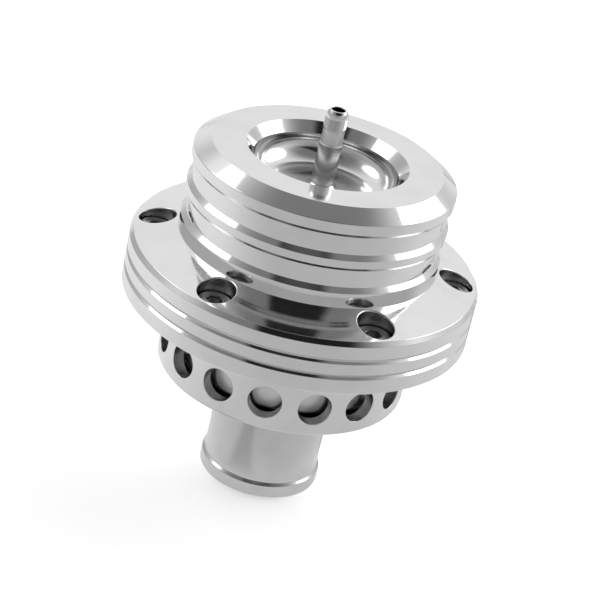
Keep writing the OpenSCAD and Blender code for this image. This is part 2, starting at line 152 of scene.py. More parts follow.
class Profile:
    """A closed half section whose corners are arcs, walked with the metal on its left.

    A corner of radius e between lines that turn by t starts e tan(t / 2) before the corner. Its arc
    keeps touching both lines, so the normals turn evenly over it and stay fixed on the lines.
    """

    # Quads over each corner's arc
    STEPS = 4

    def __init__(self, corners: Sequence[Corner]) -> None:
        """Works out the points and normals of the section.

        Args:
            corners: Radius, height and edge radius of each corner, in order, and a name where one
                is asked for later.
        """
        given = np.array([corner[:3] for corner in corners], float)
        corner, edge = given[:, :2], given[:, 2]
        ahead = unit(np.roll(corner, -1, 0) - corner)
        behind = np.roll(ahead, 1, 0)
        cross = behind[:, 0] * ahead[:, 1] - behind[:, 1] * ahead[:, 0]
        turn = np.arctan2(cross, np.sum(behind * ahead, 1))
        start = corner - behind * (edge * np.tan(np.abs(turn) / 2))[:, None]
        first = np.stack([behind[:, 1], -behind[:, 0]], -1)
        swing = turn[:, None] * np.linspace(0.0, 1.0, self.STEPS + 1)
        cos, sin = np.cos(swing), np.sin(swing)
        normal = np.stack(
            [cos * first[:, :1] - sin * first[:, 1:], sin * first[:, :1] + cos * first[:, 1:]], -1
        )
        side = (np.sign(turn) * edge)[:, None, None]
        points = start[:, None] - side * first[:, None] + side * normal
        self.points = points.reshape(-1, 2)
        self.normals = normal.reshape(-1, 2)
        named = {corner[3]: k for k, corner in enumerate(corners) if any(corner[3:])}
        self.first = {name: k * (self.STEPS + 1) for name, k in named.items()}

    def last(self, corner: str) -> int:
        """Row of the last point of a named corner's arc."""
        return self.first[corner] + self.STEPS

    def stretch(self, corner: str) -> tuple[Array, Array, Array]:
        """Start, end and outward normal of the straight line that follows a named corner."""
        row = self.last(corner)
        following = (row + 1) % len(self.points)
        return self.points[row], self.points[following], self.normals[row]


def box_section(inner: float, outer: float, low: float, high: float, edge: float) -> Profile:
    """A rectangular half section with equal edges."""
    return Profile([(inner, low, edge), (outer, low, edge), (outer, high, edge), (inner, high, edge)])


def ring_section(middle: float, section: float, height: float) -> Profile:
    """The round half section of a rubber ring, with a hair of flat between its four arcs."""
    half = section / 2
    return box_section(middle - half, middle + half, height - half, height + half, 0.998 * half)


def undercut(radius: float, height: float, size: Pair, name: str = "") -> list[Corner]:
    """The two corners of a bevel under a ring's edge, and the name of the upper one.

    Args:
        radius: Radius of the ring.
        height: Height of its underside.
        size: How far the bevel goes in and up.
        name: Name of the upper corner.

    Returns:
        The lower and the upper corner.
    """
    inset, rise = size
    return [(radius - inset, height, SHARP), (radius, height + rise, SHARP, name)]


@dataclass(frozen=True)
class Holes:
    """A ring of equal round holes through a turned face.

    Attributes:
        count: How many there are.
        radius: Radius of one hole.
        place: Radius of their circle if drilled along the axis, else their height.
        way: Which way they are drilled.
        edge: Radius of the rounded edge where a hole meets the face.
        turn: Angle of the first one from +X, in degrees.
    """

    count: int
    radius: float
    place: float
    way: Drill
    edge: float
    turn: float = 0.0

    def rim(self) -> tuple[Array, Array, Array]:
        """Walks round a hole's square share of its face.

        Returns:
            The share's edge as two coordinates from -1 to 1, and the matching angles round the hole.
        """
        along = np.linspace(-1.0, 1.0, AROUND // self.count + 1)
        up = np.linspace(-1.0, 1.0, SIDE + 1)
        one, tall = np.ones_like(along), np.ones_like(up)
        u = np.concatenate([along, tall[1:], along[::-1][1:], -tall[1:]])
        v = np.concatenate([-one, up[1:], one[1:], up[::-1][1:]])
        return u, v, np.arctan2(v, u)

    def away(self, angle: Array) -> Array:
        """Directions from the first hole's centre line, for angles round the hole."""
        zero = np.zeros_like(angle)
        if self.way is Drill.ALONG:
            return np.stack([np.sin(angle), np.cos(angle), zero], -1)
        return np.stack([zero, np.cos(angle), np.sin(angle)], -1)

    def loop(self, radius: float, level: float, angle: Array) -> Array:
        """A circle round the first hole's centre line at a height, or at a distance along the hole."""
        centre = [self.place, 0.0, level] if self.way is Drill.ALONG else [level, 0.0, self.place]
        return np.array(centre) + radius * self.away(angle)


class Skin:
    """Gathers grids of points with exact normals and welds them into one mesh."""

    def __init__(self) -> None:
        """Starts with nothing."""
        self.points: list[Array] = []
        self.normals: list[Array] = []
        self.quads: list[Array] = []
        self.raw: list[Array] = []
        self.count = 0

    def grid(
        self, points: Array, normals: Array, keep: Array | None = None, raw: Array | float = 0.0
    ) -> None:
        """Adds a grid of quads whose faces look along its normals.

        Args:
            points: Rows and columns of points.
            normals: A normal for each point, or something that spreads to that.
            keep: True for each row of quads that is wanted.
            raw: 1 where a row of quads is darker and rougher, as where it is left as machined, 0 where it
                is finished.
        """
        rows, columns = points.shape[:2]
        flat, facing = points.reshape(-1, 3), np.broadcast_to(normals, points.shape).reshape(-1, 3)
        index = np.arange(rows * columns).reshape(rows, columns)
        quads = np.stack([index[:-1, :-1], index[:-1, 1:], index[1:, 1:], index[1:, :-1]], -1)
        bare = np.broadcast_to(np.reshape(raw, (-1, 1)), quads.shape[:2])
        if keep is not None:
            quads, bare = quads[keep], bare[keep]
        quads = quads.reshape(-1, 4)
        at = flat[quads]
        face = np.cross(at[:, 2] - at[:, 0], at[:, 3] - at[:, 1])
        if np.sum(face * facing[quads].sum(1)) < 0:
            quads = quads[:, ::-1]
        self.points.append(flat)
        self.normals.append(facing)
        self.quads.append(quads + self.count)
        self.raw.append(bare.ravel())
        self.count += len(flat)

    def copies(self, points: Array, normals: Array, holes: Holes, raw: float = 0.0) -> None:
        """Adds a grid once for each hole of a ring."""
        normals = np.broadcast_to(normals, points.shape)
        for k in range(holes.count):
            spin = np.array(Matrix.Rotation(math.radians(holes.turn) + TURN * k / holes.count, 3, "Z"))
            self.grid(points @ spin.T, normals @ spin.T, raw=raw)

    def strips(self, rows: Sequence[Array], normals: Sequence[Array]) -> None:
        """Joins each row of points to the next by a strip with its own normal."""
        for first, second, normal in zip(rows, rows[1:], normals):
            self.grid(np.stack([first, second]), normal)

    def add(self, other: Skin, place: Matrix) -> None:
        """Adds a copy of another skin, moved without stretching."""
        spin, move = np.array(place.to_3x3()), np.array(place.translation)
        self.points.append(np.concatenate(other.points) @ spin.T + move)
        self.normals.append(np.concatenate(other.normals) @ spin.T)
        self.quads.append(np.concatenate(other.quads) + self.count)
        self.raw.extend(other.raw)
        self.count += other.count

    def turned(
        self,
        profile: Profile,
        around: int = AROUND,
        skip: Sequence[str] = (),
        raw: dict[str, float] | None = None,
    ) -> None:
        """Carries a half section round the axis.

        Args:
            profile: The half section.
            around: Quads round the axis.
            skip: Corners whose following line is left open, for something else to fill.
            raw: Corners from which on the surface is darker and rougher, as where it is left as machined,
                each with a share of 0 to 1.
        """
        angle = np.linspace(0.0, TURN, around + 1)
        points = np.vstack([profile.points, profile.points[:1]])
        normals = np.vstack([profile.normals, profile.normals[:1]])
        keep = np.ones(len(points) - 1, bool)
        keep[[profile.last(corner) for corner in skip]] = False
        bare = np.zeros(len(keep))
        for corner, share in (raw or {}).items():
            bare[profile.first[corner] :] = share
        self.grid(revolve(points, angle), revolve(normals, angle), keep, bare)

    def pierced(self, profile: Profile, corner: str, holes: Holes, raw: float = 0.0) -> Array:
        """Fills the line after a corner with a face that has holes, and rounds their edges.

        The face is a strip measured round the axis and along the line. Each hole has an equal share of
        it, and straight lines in the strip join the hole's rim to the share's edge. The rounded edge is
        a quarter circle that turns from the face's normal to the hole's wall.

        Args:
            profile: The half section that the face belongs to.
            corner: The corner that the face follows.
            holes: The ring of holes.
            raw: 1 if the face is left as machined.

        Returns:
            The loop round the first hole, before its turn, where the edge meets the hole's wall.
        """
        begin, end, normal = profile.stretch(corner)
        along = holes.way is Drill.ALONG
        axis = 0 if along else 1
        u, v, angle = holes.rim()
        bend = np.linspace(0.0, math.pi / 2, EDGE_ROWS)[:, None]
        radius = holes.radius + holes.edge * (1 - np.sin(bend))
        away = holes.away(angle)
        rim = radius[..., None] * away
        if along:
            rim = rim + [holes.place, 0.0, 0.0]
            run = (np.hypot(rim[..., 0], rim[..., 1]) - begin[0]) / (end[0] - begin[0])
            rim[..., 2] = begin[1] + run * (end[1] - begin[1])
            outward = np.sign(normal[1]) * UP
        else:
            rim = rim + [0.0, 0.0, holes.place]
            run = (rim[..., 2] - begin[1]) / (end[1] - begin[1])
            rim[..., 0] = np.sqrt(begin[0] ** 2 - rim[..., 1] ** 2)
            outward = np.array([np.sign(normal[0]), 0.0, 0.0])
        around = np.arctan2(rim[0, :, 1], rim[0, :, 0])
        facing = revolve(normal[None], around)[0]
        edge = rim - (holes.edge * (1 - np.cos(bend)))[..., None] * outward
        edge_normals = np.cos(bend)[..., None] * facing - np.sin(bend)[..., None] * away
        middle = (holes.place - begin[axis]) / (end[axis] - begin[axis])
        w = v * np.sign(end[axis] - begin[axis])
        border = middle + np.where(w > 0, w * (1 - middle), w * middle)
        share = np.linspace(0.0, 1.0, FACE_ROWS)[:, None]
        strip_angle = (1 - share) * around + share * u * math.pi / holes.count
        strip_run = ((1 - share) * run[0] + share * border)[..., None]
        line = begin + strip_run * (end - begin)
        face = polar(line[..., 0], strip_angle, line[..., 1])
        face_normals = polar(normal[0], strip_angle, normal[1])
        self.copies(face, face_normals, holes, raw)
        self.copies(edge, unit(edge_normals), holes, raw)
        return edge[-1]

    def bore(self, holes: Holes, begin: Array, end: Array) -> None:
        """Joins two loops of the same hole by a straight wall that faces the hole's centre line."""
        wall = -holes.away(holes.rim()[2])
        self.copies(np.stack([begin, end]), wall, holes, 1.0)

    def thread(self, profile: Profile, corner: str, pitch: float, around: int) -> None:
        """Fills the upright line after a corner with a screw thread that fades out at both ends.

        The radius falls by a triangle wave of (height / pitch - angle / turn).

        Args:
            profile: The half section that the line belongs to.
            corner: The corner that the line follows.
            pitch: Rise in one turn.
            around: Quads round the axis.
        """
        (radius, low), (_, high), _ = profile.stretch(corner)
        angle = np.linspace(0.0, TURN, around + 1)
        z = np.linspace(low, high, int(THREAD_ROWS * (high - low) / pitch) + 2)[:, None]
        wave = np.abs(2 * np.mod(z / pitch - angle / TURN, 1.0) - 1)
        fade = np.clip(np.minimum(z - low, high - z) / pitch, 0.0, 1.0)
        points = polar(radius - THREAD_DEPTH * pitch * wave * fade, angle, z)
        normals = slopes(points)
        inward = np.sum(normals[..., :2] * points[..., :2], -1, keepdims=True) < 0
        self.grid(points, np.where(inward, -normals, normals))

    def piece(self, name: str) -> bpy.types.Object:
        """Welds the grids into a mesh object that keeps their normals.

        Args:
            name: Name of the object.

        Returns:
            The object, at the origin and linked to the scene.
        """
        points, quads = np.concatenate(self.points) * MM, np.concatenate(self.quads)
        mesh = bpy.data.meshes.new(name)
        mesh.from_pydata(points.tolist(), [], quads.tolist())
        facing = np.concatenate(self.normals)[quads.ravel()].astype(np.float32)
        mesh.attributes.new("facing", "FLOAT_VECTOR", "CORNER").data.foreach_set("vector", facing.ravel())
        raw = np.concatenate(self.raw).astype(np.float32)
        mesh.attributes.new(RAW, "FLOAT", "FACE").data.foreach_set("value", raw)
        welded = bmesh.new()
        welded.from_mesh(mesh)
        bmesh.ops.remove_doubles(welded, verts=welded.verts, dist=WELD)
        welded.to_mesh(mesh)
        welded.free()
        kept = np.empty(3 * len(mesh.loops), np.float32)
        mesh.attributes["facing"].data.foreach_get("vector", kept)
        mesh.attributes.remove(mesh.attributes["facing"])
        mesh.polygons.foreach_set("use_smooth", np.ones(len(mesh.polygons), bool))
        mesh.normals_split_custom_set(kept.reshape(-1, 3).tolist())
        piece = bpy.data.objects.new(name, mesh)
        bpy.context.collection.objects.link(piece)
        return piece


Input = Union["Value", bpy.types.NodeSocket, float, tuple]


class Value:
    """A shader socket that takes part in Python arithmetic through Math nodes."""

    def __init__(self, graph: Graph, socket: bpy.types.NodeSocket) -> None:
        """Wraps a socket of a graph."""
        self.graph = graph
        self.socket = socket

    def _math(self, operation: str, first: Input, second: Input) -> Value:
        """Adds a Math node with two inputs."""
        return self.graph.value("ShaderNodeMath", {"operation": operation}, {0: first, 1: second})

    def __add__(self, other: Input) -> Value:
        """This plus another."""
        return self._math("ADD", self, other)

    def __radd__(self, other: Input) -> Value:
        """Another plus this."""
        return self._math("ADD", other, self)

    def __sub__(self, other: Input) -> Value:
        """This less another."""
        return self._math("SUBTRACT", self, other)

    def __rsub__(self, other: Input) -> Value:
        """Another less this."""
        return self._math("SUBTRACT", other, self)

    def __mul__(self, other: Input) -> Value:
        """This times another."""
        return self._math("MULTIPLY", self, other)

    def __rmul__(self, other: Input) -> Value:
        """Another times this."""
        return self._math("MULTIPLY", other, self)

    def __pow__(self, other: Input) -> Value:
        """This to the power of another."""
        return self._math("POWER", self, other)

    def between(self, low: float, high: float) -> Value:
        """0 below one level, 1 above the other, and a smooth rise from one to the other."""
        return self.graph.value(
            "ShaderNodeMapRange", {"interpolation_type": "SMOOTHSTEP"}, {0: self, 1: low, 2: high}
        )

    def below(self, low: float, high: float) -> Value:
        """1 below one level, 0 above the other, and a smooth fall from one to the other."""
        return 1.0 - self.between(low, high)

    def sine(self) -> Value:
        """The sine of this, in radians."""
        return self.graph.value("ShaderNodeMath", {"operation": "SINE"}, {0: self})


class Graph:
    """A node tree that is filled from Python expressions."""

    def __init__(self, tree: bpy.types.NodeTree) -> None:
        """Empties a tree and takes it over."""
        self.tree = tree
        tree.nodes.clear()

    def node(
        self, kind: str, settings: dict[str, Any] | None = None, inputs: dict[Any, Input] | None = None
    ) -> bpy.types.Node:
        """Adds a node.

        Args:
            kind: Blender's name of the node's type.
            settings: Properties of the node, set first.
            inputs: Values or links for its sockets, by name or by number.

        Returns:
            The node.
        """
        made = self.tree.nodes.new(kind)
        for name, setting in (settings or {}).items():
            setattr(made, name, setting)
        for key, given in (inputs or {}).items():
            if isinstance(given, Value):
                given = given.socket
            if isinstance(given, bpy.types.NodeSocket):
                self.tree.links.new(given, made.inputs[key])
            else:
                made.inputs[key].default_value = given
        return made

    def value(
        self,
        kind: str,
        settings: dict[str, Any] | None = None,
        inputs: dict[Any, Input] | None = None,
        output: Any = 0,
    ) -> Value:
        """Adds a node and wraps one of its outputs."""
        return Value(self, self.node(kind, settings, inputs).outputs[output])

    def blend(self, share: Input, first: Input, second: Input) -> Value:
        """Mixes two colours."""
        settings = {"data_type": "RGBA", "clamp_factor": True}
        return self.value("ShaderNodeMix", settings, {0: share, 6: first, 7: second}, 2)

    def split(self, vector: Input) -> tuple[Value, Value, Value]:
        """The three parts of a vector."""
        x, y, z = self.node("ShaderNodeSeparateXYZ", None, {0: vector}).outputs
        return Value(self, x), Value(self, y), Value(self, z)

    def ray(self, kind: str) -> Value:
        """1 for rays of a kind and 0 for the others."""
        return self.value("ShaderNodeLightPath", None, None, kind)

    def place(self) -> tuple[Value, Value, Value]:
        """The point on the piece: as a vector in millimetres, its radius and its height."""
        read = self.value("ShaderNodeTexCoord", None, None, "Object")
        scaled = {0: read, "Scale": 1.0 / MM}
        point = self.value("ShaderNodeVectorMath", {"operation": "SCALE"}, scaled)
        x, y, z = self.split(point)
        return point, (x * x + y * y) ** 0.5, z

    def noise(self, point: Input, scale: float, detail: float = 3.0) -> Value:
        """Smooth noise, from 0 to 1, with a number of waves in each millimetre."""
        return self.value("ShaderNodeTexNoise", None, {"Vector": point, "Scale": scale, "Detail": detail})

    def lines(self, along: Input, scale: float) -> Value:
        """Noise that changes along one value only, as turning lines do."""
        settings = {"noise_dimensions": "1D"}
        return self.value("ShaderNodeTexNoise", settings, {"W": along, "Scale": scale, "Detail": 2.0})

    def surface(self, inputs: dict[Any, Input]) -> None:
        """Ends the tree in a principled shader."""
        shader = self.node("ShaderNodeBsdfPrincipled", None, inputs)
        self.node("ShaderNodeOutputMaterial", None, {"Surface": shader.outputs[0]})

    def relief(self, height: Input, depth: float, strength: float = 1.0) -> Value:
        """A normal that follows a height of 0 to 1, some millimetres deep."""
        inputs = {"Height": height, "Distance": depth * MM, "Strength": strength}
        return self.value("ShaderNodeBump", None, inputs)


Colour = tuple[float, float, float, float]


def grey(level: float, blue: float = 0.0) -> Colour:
    """A grey, with a little blue if wanted."""
    return (level, level, level + blue, 1.0)


@dataclass(frozen=True)
class Metal:
    """Bare metal, from mirror polish to satin, with the rings that turning leaves.

    Attributes:
        slot: Material slot of the record.
        clean: Colour of the clean metal.
        dull: Colour of the hazier patches.
        polish: Roughness where it is cleanest.
        haze: How much rougher the hazy patches are.
        rings: How much rougher the turning rings are.
        fineness: Turning rings in each millimetre.
        relief: Depth of the rings in millimetres.
        patch_scale: Hazy patches in each millimetre.
        patch_edge: Levels of noise between which a patch fades in.
        bare: Colour of the darker, rougher faces, such as those left as machined.
        bare_rough: How much rougher those faces are.
        bare_relief: How many times deeper their rings are.
        satin_band: Heights between which the metal is left satin.
        satin_rough: How much rougher that band is.
        satin_fade: Height over which it starts and ends.
    """

    slot: str
    clean: Colour
    dull: Colour
    polish: float
    haze: float
    rings: float
    fineness: float = 6.0
    relief: float = 0.001
    patch_scale: float = 0.12
    patch_edge: Pair = (0.42, 0.68)
    bare: Colour = grey(0.5)
    bare_rough: float = 0.2
    bare_relief: float = 10.0
    satin_band: Pair | None = None
    satin_rough: float = 0.3
    satin_fade: float = 0.05

    def shade(self, graph: Graph) -> None:
        """Fills a material's tree."""
        point, radius, height = graph.place()
        patches = graph.noise(point, self.patch_scale, detail=4.0).between(*self.patch_edge)
        turned = graph.lines(radius + height, self.fineness)
        raw = graph.value("ShaderNodeAttribute", {"attribute_name": RAW}, None, "Fac")
        rough = self.polish + patches * self.haze + turned * self.rings + raw * self.bare_rough
        colour = graph.blend(patches, self.clean, self.dull)
        if self.satin_band:
            low, high = self.satin_band
            above = height.between(low, low + self.satin_fade)
            rough = rough + above * height.below(high - self.satin_fade, high) * self.satin_rough
        graph.surface(
            {
                "Base Color": graph.blend(raw, colour, self.bare),
                "Metallic": 1.0,
                "Roughness": rough,
                "Normal": graph.relief(turned * (1.0 + raw * self.bare_relief), self.relief),
            }
        )


@dataclass(frozen=True)
class Rubber:
    """Matt moulded rubber with a fine grain, and a woven backing if it has one.

    Attributes:
        slot: Material slot of the record.
        colour: Colour of the rubber.
        bloom: Paler colour where it has been handled.
        weave: Threads of the backing in each millimetre, or none.
        thread_share: How much of the relief the threads give.
        grain_share: How much of it the grain still gives between threads.
        grain_scale: Grains in each millimetre.
        patch_scale: Paler patches in each millimetre.
        patch_edge: Levels of noise between which a patch fades in.
        rough: Roughness, and how much rougher the patches are.
        relief: Depth of the grain in millimetres, and its strength.
    """

    slot: str
    colour: Colour
    bloom: Colour
    weave: float = 0.0
    thread_share: float = 0.35
    grain_share: float = 0.3
    grain_scale: float = 6.0
    patch_scale: float = 0.3
    patch_edge: Pair = (0.35, 0.75)
    rough: Pair = (0.52, 0.2)
    relief: Pair = (0.02, 0.6)

    def shade(self, graph: Graph) -> None:
        """Fills a material's tree."""
        point, _, _ = graph.place()
        patches = graph.noise(point, self.patch_scale).between(*self.patch_edge)
        grain = graph.noise(point, self.grain_scale, detail=2.0)
        if self.weave:
            warp, weft = ((axis * TURN * self.weave).sine() for axis in graph.split(point)[:2])
            grain = 0.5 + self.thread_share * warp * weft + self.grain_share * (grain - 0.5)
        smoothest, rougher = self.rough
        graph.surface(
            {
                "Base Color": graph.blend(patches, self.colour, self.bloom),
                "Roughness": smoothest + rougher * patches,
                "Normal": graph.relief(grain, *self.relief),
            }
        )


@dataclass(frozen=True)
class Plastic:
    """Low friction plastic with a soft sheen and faint tool rings.

    Attributes:
        slot: Material slot of the record.
        colour: Colour of the plastic.
        shade_colour: Colour of its slightly greyer patches.
        fineness: Tool rings in each millimetre.
        patch_scale: Greyer patches in each millimetre.
        patch_edge: Levels of noise between which a patch fades in.
        rough: Roughness, and how much rougher the rings are.
        relief: Depth of the rings in millimetres, and their strength.
    """

    slot: str
    colour: Colour
    shade_colour: Colour
    fineness: float = 5.0
    patch_scale: float = 0.25
    patch_edge: Pair = (0.3, 0.8)
    rough: Pair = (0.36, 0.12)
    relief: Pair = (0.01, 0.5)

    def shade(self, graph: Graph) -> None:
        """Fills a material's tree."""
        point, radius, height = graph.place()
        patches = graph.noise(point, self.patch_scale).between(*self.patch_edge)
        turned = graph.lines(radius + height, self.fineness)
        smoothest, rougher = self.rough
        graph.surface(
            {
                "Base Color": graph.blend(patches, self.colour, self.shade_colour),
                "Roughness": smoothest + rougher * turned,
                "Normal": graph.relief(turned, *self.relief),
            }
        )


Finish = Union[Metal, Rubber, Plastic]


class Finishes:
    """Every finish of the valve."""

    POLISHED = Metal(
        "polished_aluminium", grey(0.88, 0.004), grey(0.84, 0.006), polish=0.055, haze=0.02, rings=0.03
    )
    SATIN = Metal(
        "satin_aluminium",
        grey(0.75, 0.005),
        grey(0.69, 0.005),
        polish=0.1,
        haze=0.04,
        rings=0.08,
        relief=0.008,
    )
    TURNED = Metal(
        "turned_aluminium",
        grey(0.84, 0.005),
        grey(0.78, 0.006),
        polish=0.26,
        haze=0.04,
        rings=0.06,
        relief=0.002,
    )
    NIPPLE = Metal(
        "nipple_metal",
        grey(0.86, 0.004),
        grey(0.8, 0.005),
        polish=0.04,
        haze=0.02,
        rings=0.02,
        satin_band=(78.3, 81.55),
    )
    SCREW = Metal(
        "screw_steel",
        grey(0.46, 0.01),
        grey(0.36, 0.015),
        polish=0.15,
        haze=0.1,
        rings=0.06,
        fineness=5.0,
        relief=0.004,
    )
    SPRING = Metal(
        "spring_steel", grey(0.42, 0.03), grey(0.3, 0.02), polish=0.22, haze=0.12, rings=0.05
    )
    SEAL = Rubber("black_rubber", grey(0.018), grey(0.035))
    DIAPHRAGM = Rubber("diaphragm_rubber", grey(0.025, 0.002), grey(0.05, 0.003), weave=1.6)
    WHITE = Plastic("white_plastic", (0.84, 0.84, 0.81, 1.0), (0.76, 0.76, 0.73, 1.0))


@functools.cache
def material(finish: Finish) -> bpy.types.Material:
    """The material of a finish, made once."""
    made = bpy.data.materials.new(finish.slot)
    made.use_nodes = True
    finish.shade(Graph(made.node_tree))
    return made


def dress(piece: bpy.types.Object, node: str, finish: Finish, body: Body | None) -> bpy.types.Object:
    """Gives a piece its finish, hides the solid that it stands for and sets the body that it moves with.

    Args:
        piece: The new piece.
        node: The solid of the frame that it stands for.
        finish: Its finish.
        body: Its body, or none, which leaves the piece unattached.

    Returns:
        The piece.
    """
    piece.data.materials.append(material(finish))
    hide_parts(node)
    if body:
        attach(piece, body.value)
    LOG.info("%s for %s: %d faces", piece.name, node, len(piece.data.polygons))
    return piece


def turn_piece(
    name: str, node: str, section: Profile, finish: Finish, body: Body | None, around: int = AROUND
) -> bpy.types.Object:
    """Makes a plain turned piece from its half section and dresses it."""
    skin = Skin()
    skin.turned(section, around)
    return dress(skin.piece(name), node, finish, body)


@dataclass(frozen=True)
class Span:
    """Where a solid of the frame lies, in millimetres."""

    low: float
    high: float
    radius: float

    @classmethod
    def of(cls, node: str) -> Span:
        """Reads a solid's lowest and highest point and its reach along +X."""
        low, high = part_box(node)
        return cls(low.z / MM, high.z / MM, high.x / MM)

    def ring(self, inner: float, edge: float) -> Profile:
        """The half section of a plain ring that fills the span from an inner radius out."""
        return box_section(inner, self.radius, self.low, self.high, edge)


def solid(node: str) -> Any:
    """A dataclass field for the span of a solid, read when the assembly is made."""
    return field(default_factory=lambda: Span.of(node))


@dataclass(frozen=True)
class ScrewCircle:
    """The ring of cover screws and their holes, each with its radius and its edge."""

    count: int = 6
    radius: float = 31.8
    clear: Pair = (2.2, BROKEN)
    tapped: Pair = (2.05, 0.15)
    counterbore: Pair = (3.8, 0.22)
    head_web: float = 2.7

    def holes(self, radius: float, edge: float) -> Holes:
        """Holes of some radius on the circle."""
        return Holes(self.count, radius, self.radius, Drill.ALONG, edge)


@dataclass
class Cover:
    """Grooved cap, coned shoulder and upper flange, one turned and polished piece."""

    screws: ScrewCircle
    span: Span = solid("upper_cover")
    ring_low: float = 2.8
    flange_groove: float = 0.7
    ring_top: float = 3.2
    chamfer: Pair = (0.75, 0.95)
    shoulder_rise: float = 2.35
    cap_r: float = 27.4
    cap_groove: float = 0.95
    cap_rings: tuple[float, float, float] = (3.15, 2.2, 2.75)
    bevel: Pair = (3.35, 2.3)
    recess_r: float = 15.1
    recess_depth: float = 7.45
    recess_round: float = 5.0
    recess_bevel: Pair = (1.85, 2.2)
    roof_t: float = 3.5
    nipple_hole_r: float = 2.55
    nipple_seat: Pair = (2.85, 0.9)
    chamber_r: float = 25.6
    chamber_h: float = 8.6
    spring_room_r: float = 21.2
    pad_seat: tuple[float, float, float] = (13.85, 17.55, 0.4)
    edge: float = 0.16
    ring_edge: float = 0.3
    under_edge: Pair = (0.28, 0.6)
    flange_edge: Pair = (0.3, 0.52)
    groove_edge: float = 0.08
    seat_edge: float = 0.04
    room_round: float = 0.5

    def profile(self) -> Profile:
        """The half section, from the clamp face up the outside, over the top and down the inside."""
        z, top, out, e = self.span.low, self.span.high, self.span.radius, self.edge
        groove = z + self.ring_low
        upper = groove + self.flange_groove
        wide, tall = self.chamfer
        shoulder = upper + self.ring_top + tall
        cap = shoulder + self.shoulder_rise
        low, mid, high = self.cap_rings
        band = (top - cap - low - mid - high - self.bevel[1]) / 2
        ring_mid = cap + low + band
        ring_high = ring_mid + mid + band
        cap_r, neck, fine = self.cap_r, self.cap_r - self.cap_groove, self.groove_edge
        floor = top - self.recess_depth
        roof = floor - self.roof_t
        pad_in, pad_out, pad_deep = self.pad_seat
        seat_r, seat_deep = self.nipple_seat
        chamber = z + self.chamber_h
        return Profile(
            [
                (self.chamber_r, z, e, "clamp face"),
                *undercut(out, z, self.flange_edge),
                (out, groove, e),
                (out - self.flange_groove, upper, SHARP),
                *undercut(out, upper, self.flange_edge),
                (out, shoulder - tall, e),
                (out - wide, shoulder, e, "shoulder"),
                (cap_r, cap, BROKEN),
                (cap_r, cap + low, e),
                (neck, cap + low + self.cap_groove, fine),
                (neck, ring_mid, fine, "under middle ring"),
                *undercut(cap_r, ring_mid, self.under_edge, "middle ring"),
                (cap_r, ring_mid + mid, e),
                (neck, ring_mid + mid + self.cap_groove, fine),
                (neck, ring_high, fine, "under top ring"),
                *undercut(cap_r, ring_high, self.under_edge, "top ring"),
                (cap_r, ring_high + high, self.ring_edge),
                (cap_r - self.bevel[0], top, e),
                (self.recess_r + self.recess_bevel[0], top, e, "mouth"),
                (self.recess_r, top - self.recess_bevel[1], e, "recess"),
                (self.recess_r, floor, self.recess_round),
                (seat_r, floor, SHARP, "inside"),
                (seat_r, floor - seat_deep, self.seat_edge),
                (self.nipple_hole_r, floor - seat_deep, self.seat_edge),
                (self.nipple_hole_r, roof, SHARP),
                (pad_in, roof, SHARP),
                (pad_in, roof + pad_deep, SHARP),
                (pad_out, roof + pad_deep, SHARP),
                (pad_out, roof, SHARP),
                (self.spring_room_r, roof, self.room_round),
                (self.spring_room_r, chamber + self.chamber_r - self.spring_room_r, ROUNDED),
                (self.chamber_r, chamber, ROUNDED),
            ]
        )

    def build(self) -> None:
        """Makes the cover with its counterbores."""
        # The necks under the middle and top rings are made darker and rougher, which draws a dark line
        # under the edge of each ring
        under = {"under middle ring": 0.6, "middle ring": 0.0, "under top ring": 0.6, "top ring": 0.0}
        bowl = {"mouth": 0.1, "recess": 0.2, "inside": 1.0}
        profile = self.profile()
        skin = Skin()
        skin.turned(profile, skip=("clamp face", "shoulder"), raw=under | bowl)
        wide = self.screws.holes(*self.screws.counterbore)
        narrow = self.screws.holes(*self.screws.clear)
        angle = wide.rim()[2]
        seat = self.span.low + self.screws.head_web
        rim = wide.loop(wide.radius, seat, angle)
        throat = narrow.loop(narrow.radius, seat, angle)
        skin.bore(wide, skin.pierced(profile, "shoulder", wide), rim)
        skin.copies(np.stack([rim, throat]), UP, wide, 1.0)
        skin.bore(narrow, throat, skin.pierced(profile, "clamp face", narrow, 1.0))
        dress(skin.piece("polished_cover"), "upper_cover", Finishes.POLISHED, Body.HOUSING)


